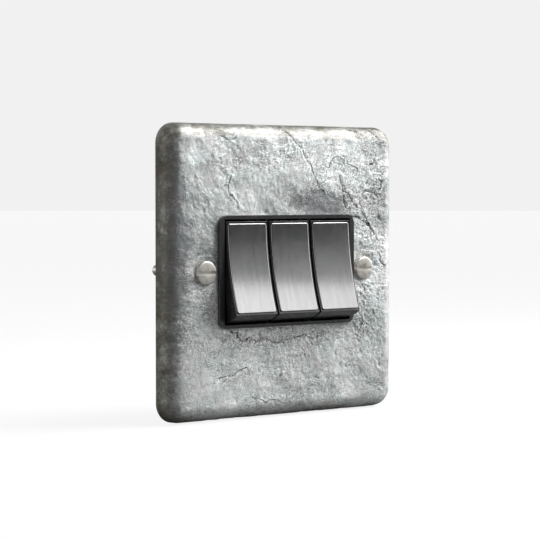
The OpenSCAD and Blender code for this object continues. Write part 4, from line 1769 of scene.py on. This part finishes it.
@dataclass
class Screws:
    """Every screw of the switch, threaded and slotted."""

    fixing_r: float = 1.75
    fixing_head_r: float = 3.5
    fixing_rim: float = 0.42
    fixing_pitch: float = 0.6
    fixing_thread: float = 0.24
    fixing_around: int = 72
    neck_r: float = 1.6
    neck_l: float = 4.2
    slot_w: float = 1.0
    slot_d: float = 0.9
    fixing_turns: tuple[float, float] = (1.5, -2.0)
    crown: tuple[Point2, ...] = ((2.6, 0.06), (1.8, 0.03), (1.0, 0.012), (0.4, 0.0), (0.0, 0.0))
    strap: ScrewShape = ScrewShape(1.2, 3.0, pan_head(2.3, 1.5), 0.6, 0.75, 0.45, 0.16)
    housing: ScrewShape = ScrewShape(1.2, 6.5, pan_head(2.3, 1.5), 0.6, 0.75, 0.45, 0.16)
    earth: ScrewShape = ScrewShape(1.5, 1.9, pan_head(1.9, 1.2), 0.6, 0.6, 0.5, 0.18)
    clamp: ScrewShape = ScrewShape(1.5, 1.0, pan_head(1.5, 1.3), 0.6, 0.65, 0.5, 0.16)
    turns: tuple[float, ...] = (12, 80, -35, 55, 140, 20, -70, 100, 5)

    def centres(self, node: str) -> list[Vector]:
        """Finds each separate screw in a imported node.

        Args:
            node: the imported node.

        Returns:
            For each, its axis's place across and up, then its lowest and highest level.
        """
        mesh = frame["nodes"][node].data
        parent = list(range(len(mesh.vertices)))

        def root(i: int) -> int:
            """Finds the group of a point.

            Args:
                i: the point's number.

            Returns:
                The number that stands for its group.
            """
            while parent[i] != i:
                parent[i] = parent[parent[i]]
                i = parent[i]
            return i

        seen: dict[tuple[int, int, int], int] = {}
        for v in mesh.vertices:
            key = tuple(round(c * 1e6) for c in v.co)
            if key in seen:
                parent[root(v.index)] = root(seen[key])
            seen[key] = v.index
        for edge in mesh.edges:
            parent[root(edge.vertices[0])] = root(edge.vertices[1])
        groups: dict[int, list[Vector]] = {}
        for v in mesh.vertices:
            groups.setdefault(root(v.index), []).append(ROW_TO_WALL @ v.co)
        found = []
        for points in groups.values():
            low, high = ([pick(p[k] for p in points) for k in range(3)] for pick in (min, max))
            middle = [(a + b) / 2 for a, b in zip(low, high, strict=True)]
            found.append(Vector((middle[0], middle[1], low[2], high[2])))
        return sorted(found, key=lambda c: (round(c[0], 3), round(c[1], 3)))

    def row_of(self, node: str, shape: ScrewShape) -> None:
        """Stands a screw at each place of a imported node, head away from the plate.

        Args:
            node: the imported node.
            shape: the screw to copy.
        """
        spots = self.centres(node)
        places = []
        for i, spot in enumerate(spots):
            turn = Matrix.Rotation(math.radians(self.turns[i % len(self.turns)]), 4, "Z")
            places.append(Matrix.Translation((spot[0], spot[1], spot[3])) @ FLIP @ turn)
        screws = placed_copies(shape.shape(), places)
        ring_uv(screws, [(s[0], s[1]) for s in spots])
        hand_in(screws, node + "_threaded", "switch", "screw", [node], sharp=40)

    def fixings(self) -> None:
        """Builds the two wall fixings, heads outwards."""
        spots = self.centres("fixing_screws")
        low, high = spots[0][2], spots[0][3]
        radius, cone = self.fixing_head_r, self.fixing_head_r - self.neck_r
        top = cone + (high - (PLATE_FACE_Z - SEAT_SINK))
        head = [(self.neck_r, 0.0), (radius - 0.08, cone - 0.08), (radius, cone)]
        head += rounded_rim(radius, top - 0.1, self.fixing_rim, 5)
        head += [(r, top - drop) for r, drop in self.crown]
        sizes = (self.fixing_r, high - low - top, tuple(head), self.slot_w, self.slot_d)
        thread = (self.fixing_pitch, self.fixing_thread, self.neck_l, self.neck_r)
        screw = ScrewShape(*sizes, *thread).shape(self.fixing_around)
        ease_edges(screw, Softness.CRISP.value, 50, 2)
        places = [
            Matrix.Translation((s[0], s[1], low)) @ Matrix.Rotation(math.radians(turn), 4, "Z")
            for s, turn in zip(spots, self.fixing_turns, strict=True)
        ]
        screws = placed_copies(screw, places)
        ring_uv(screws, [(s[0], s[1]) for s in spots])
        name, node = "fixing_screws_turned", "fixing_screws"
        hand_in(screws, name, "switch", "fixing_screw", [node], sharp=35)

    def build(self) -> None:
        """Builds every screw."""
        self.fixings()
        self.row_of("strap_screws", self.strap)
        self.row_of("housing_screws", self.housing)
        self.row_of("earth_screw", self.earth)
        for gang in GANGS:
            self.row_of(f"clamp_screws_{gang}", self.clamp)


@dataclass
class PlungerSpring:
    """A coil spring that presses a plunger out of its rocker."""

    gang: int
    wire_r: float = 0.17
    turns: float = 4.5
    around: int = 10
    steps: int = 26
    least_length: float = 0.05

    def build(self) -> Piece:
        """Builds the coil along the plunger's slide and ties it to its rocker.

        Returns:
            The coil.
        """
        node = f"plunger_spring_{self.gang}"
        slide = joint_named(f"plunger_{self.gang}_slide")
        axis = (ROW_TO_WALL.to_3x3() @ Vector(slide["axis"])).normalized()
        points = np.array([ROW_TO_WALL @ v.co for v in frame["nodes"][node].data.vertices])
        centre = points.mean(0)
        along = (points - centre) @ np.array(axis)
        low, high = along.min(), along.max()
        centre = centre + np.array(axis) * (low + high) / 2
        half = (high - low) / 2
        away = points - centre
        across = away - np.outer(away @ np.array(axis), axis)
        coil_r = np.linalg.norm(across, axis=1).max() - self.wire_r
        frame3 = axis.to_track_quat("Z", "Y").to_matrix()
        count = int(self.turns * self.steps)
        rings = []
        for i in range(count + 1):
            share = i / count
            turn = 2 * math.pi * self.turns * share
            z = (-half + self.wire_r) + (2 * half - 2 * self.wire_r) * share
            out = Vector((math.cos(turn), math.sin(turn), 0))
            middle = out * coil_r + Vector((0, 0, z))
            ring = []
            for j in range(self.around):
                a = 2 * math.pi * j / self.around
                outward = middle + out * (self.wire_r * math.cos(a))
                local = outward + Vector((0, 0, self.wire_r * math.sin(a)))
                ring.append(frame3 @ local + Vector(centre))
            rings.append(ring)
        faces = grid_faces(len(rings), self.around)
        last = (len(rings) - 1) * self.around
        faces += [tuple(range(self.around)), tuple(last + j for j in range(self.around))]
        coil = Shape().add(np.array(rings).reshape(-1, 3), faces).object("coil")
        made = hand_in(coil, node + "_coil", f"rocker_{self.gang}", "spring", [node], sharp=60)
        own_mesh(made)
        return made


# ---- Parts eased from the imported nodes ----


@dataclass
class SwitchModule:
    """The moulded housing, base, rockers and their metal works."""

    bezel_edge: Softness = Softness.BOLD
    bezel_steps: int = 5
    base_edge: Softness = Softness.MOULDED
    rocker_edge: Softness = Softness.ROLLED
    rocker_steps: int = 4
    plunger_edge: Softness = Softness.MACHINED
    arm_edge: Softness = Softness.CRISP
    arm_angle: float = 20
    tip_edge: Softness = Softness.MACHINED
    terminal_edge: Softness = Softness.CRISP

    def gang(self, gang: int) -> None:
        """Builds one gang's rocker and the works under it.

        Args:
            gang: number of the gang.
        """
        rocker, contact, plunger = f"rocker_{gang}", f"contact_{gang}", f"plunger_{gang}"
        edge = self.rocker_edge.value
        eased_node(f"rocker_body_{gang}", edge, rocker, "rocker", steps=self.rocker_steps)
        eased_node(plunger, self.plunger_edge.value, plunger, "plunger")
        edge = self.arm_edge.value
        eased_node(f"contact_arm_{gang}", edge, contact, "bronze", self.arm_angle)
        eased_node(f"arm_tips_{gang}", self.tip_edge.value, contact, "silver")
        eased_node(f"fixed_tips_{gang}", self.tip_edge.value, "switch", "silver")
        for part in ("com", "l1", "l2"):
            node = f"{part}_terminal_{gang}"
            eased_node(node, self.terminal_edge.value, "switch", "terminal")

    def build(self) -> None:
        """Builds every piece of the module."""
        edge, steps = self.bezel_edge.value, self.bezel_steps
        eased_node("front_housing", edge, "switch", "housing", steps=steps)
        eased_node("rear_base", self.base_edge.value, "switch", "base", flattened=False)
        for gang in GANGS:
            self.gang(gang)


@dataclass
class PlateFittings:
    """What sits behind the plate: gasket, pillars, straps, retainers and the earth point."""

    gasket_edge: Softness = Softness.MOULDED
    strap_edge: Softness = Softness.MOULDED
    small_edge: Softness = Softness.MACHINED

    def build(self) -> None:
        """Builds every fitting."""
        for node, slot, edge in (
            ("wall_gasket", "gasket", self.gasket_edge),
            ("plate_pillars", "pillar", self.small_edge),
            ("upper_strap", "strap", self.strap_edge),
            ("lower_strap", "strap", self.strap_edge),
            ("screw_retainers", "retainer", self.small_edge),
            ("earth_bracket", "strap", self.small_edge),
            ("earth_terminal", "terminal", self.small_edge),
        ):
            eased_node(node, edge.value, "switch", slot)


# ---- Studio ----


@dataclass(frozen=True)
class Lobe:
    """A soft bright or dark area of the studio round the switch."""

    azimuth: float
    elevation: float
    inner: float
    outer: float
    strength: float

    def direction(self) -> Vector:
        """Returns the way towards it."""
        a, e = math.radians(self.azimuth), math.radians(self.elevation)
        return Vector((math.sin(a) * math.cos(e), -math.cos(a) * math.cos(e), math.sin(e)))


@dataclass(frozen=True)
class Lamp:
    """A square soft lamp: its direction in degrees, distance and size in metres, power in watts."""

    name: str
    azimuth: float
    elevation: float
    distance: float
    size: float
    power: float


@dataclass
class Studio:
    """Pale floor, soft surroundings, lamps and the camera."""

    lens: float = 129.27
    distance: float = 583.5
    azimuth: float = -38.30
    elevation: float = 2.34
    target: Vector = field(default_factory=lambda: Vector((-1.567, -0.6, -0.029)))
    sensor: float = 36
    nearest: float = 0.01
    farthest: float = 50
    floor_drop: float = 0.3
    floor_half: float = 6.0
    floor_rings: int = 24
    floor_around: int = 64
    floor_grain: float = 30
    floor_dim: float = 0.2
    floor_lift: float = 0.84
    floor_tone: float = 0.14
    backdrop: float = 0.88
    ambient: float = 0.015
    least_light: float = 0.02
    lobes: tuple[Lobe, ...] = (
        Lobe(38, 20, 3, 16, 0.30),
        Lobe(78, 8, 8, 32, 3.7),
        Lobe(-95, 10, 10, 50, 1.6),
        Lobe(165, 25, 10, 60, 0.5),
        Lobe(-20, 75, 5, 40, 0.3),
    )
    lamps: tuple[Lamp, ...] = (
        Lamp("key_lamp", 66, 45, 0.45, 0.26, 2.5),
        Lamp("front_lamp", 30, 38, 0.60, 0.42, 0.75),
    )

    def camera(self) -> None:
        """Places the camera."""
        lens = bpy.data.cameras.new("camera")
        lens.lens, lens.sensor_width = self.lens, self.sensor
        lens.clip_start, lens.clip_end = self.nearest, self.farthest
        made = bpy.data.objects.new("camera", lens)
        bpy.context.scene.collection.objects.link(made)
        back = Lobe(self.azimuth, self.elevation, 0, 0, 0).direction()
        made.location = (self.target + back * self.distance) * MM
        made.rotation_euler = (-back).to_track_quat("-Z", "Y").to_euler()
        bpy.context.scene.camera = made

    def surroundings(self) -> None:
        """Builds the world: a soft dome with lighter areas, and a plain pale backdrop."""
        world = bpy.data.worlds.new("studio")
        bpy.context.scene.world = world
        world.use_nodes = True
        world.node_tree.nodes.clear()
        g = NodeTree(world.node_tree)
        way = g.add("TexCoord").outputs["Generated"]
        total: object = self.ambient
        for lobe in self.lobes:
            facing = g.add("VectorMath", {"operation": "DOT_PRODUCT"})
            g.put(facing.inputs[0], way)
            g.put(facing.inputs[1], lobe.direction())
            span = g.add("MapRange", {"interpolation_type": "SMOOTHSTEP"}, To_Max=lobe.strength)
            g.put(span.inputs["Value"], facing.outputs["Value"])
            g.put(span.inputs["From Min"], math.cos(math.radians(lobe.outer)))
            g.put(span.inputs["From Max"], math.cos(math.radians(lobe.inner)))
            total = g.math("ADD", total, span.outputs["Result"])
        strength = g.math("MAXIMUM", total, self.least_light)
        lit = g.add("Background", Color=(1.0, 1.0, 1.0, 1), Strength=strength)
        seen = g.add("Background", Color=(self.backdrop, self.backdrop, self.backdrop, 1))
        mix = g.add("MixShader")
        g.put(mix.inputs[0], g.add("LightPath").outputs["Is Camera Ray"])
        g.put(mix.inputs[1], lit.outputs[0])
        g.put(mix.inputs[2], seen.outputs[0])
        g.add("OutputWorld", Surface=mix.outputs[0])

    def hang(self, lamp: Lamp) -> None:
        """Hangs a lamp so that it faces the switch.

        Args:
            lamp: the lamp.
        """
        light = bpy.data.lights.new(lamp.name, "AREA")
        light.energy, light.size = lamp.power, lamp.size
        made = bpy.data.objects.new(lamp.name, light)
        bpy.context.scene.collection.objects.link(made)
        way = Lobe(lamp.azimuth, lamp.elevation, 0, 0, 0).direction()
        made.location = way * lamp.distance
        made.rotation_euler = (-way).to_track_quat("-Z", "Y").to_euler()

    def floor(self) -> None:
        """Lays the floor just under the plate, with a faint grain."""
        low, _ = CAD_BOUNDS
        level = low.z - self.floor_drop * MM
        steps, count = self.floor_rings, self.floor_around
        angle = np.linspace(0, 2 * math.pi, count, endpoint=False)
        rings = []
        for i in range(1, steps + 1):
            r = self.floor_half * (i / steps) ** 2
            rings.append(np.stack([r * np.cos(angle), r * np.sin(angle), np.full(count, level)], 1))
        points = np.vstack([*rings, [[0, 0, level]]])
        middle = [((j + 1) % count, j, len(points) - 1) for j in range(count)]
        faces = grid_faces(steps, count) + middle
        mesh = bpy.data.meshes.new("floor")
        mesh.from_pydata(points.tolist(), [], faces)
        made = bpy.data.objects.new("floor", mesh)
        bpy.context.scene.collection.objects.link(made)
        g = NodeGraph("pale_floor")
        grain = g.noise(self.floor_grain, 3)
        colour = g.mix(grain, (self.floor_tone,) * 3, (self.floor_tone * 1.1,) * 3)
        seen = g.add("LightPath").outputs["Is Camera Ray"]
        colour = g.mix(seen, (self.floor_dim,) * 3, colour)
        lift = g.math("MULTIPLY", seen, self.floor_lift)
        g.surface(Base_Color=colour, Roughness=0.8, Specular_IOR_Level=0.2)
        g.surface(Emission_Color=(1, 1, 1, 1), Emission_Strength=lift)
        mesh.materials.append(g.material)

    def build(self) -> None:
        """Sets up the whole studio."""
        self.camera()
        self.surroundings()
        for lamp in self.lamps:
            self.hang(lamp)
        self.floor()
        bpy.context.scene.view_settings.view_transform = "Standard"


def main() -> None:
    """Builds the switch and its studio."""
    logging.basicConfig(level=logging.INFO, format="%(message)s")
    Studio().build()
    FacePlate().build()
    for gang in GANGS:
        RockerCap(gang).build()
        PlungerSpring(gang).build()
    Screws().build()
    SwitchModule().build()
    PlateFittings().build()


if __name__ == "__main__":
    main()
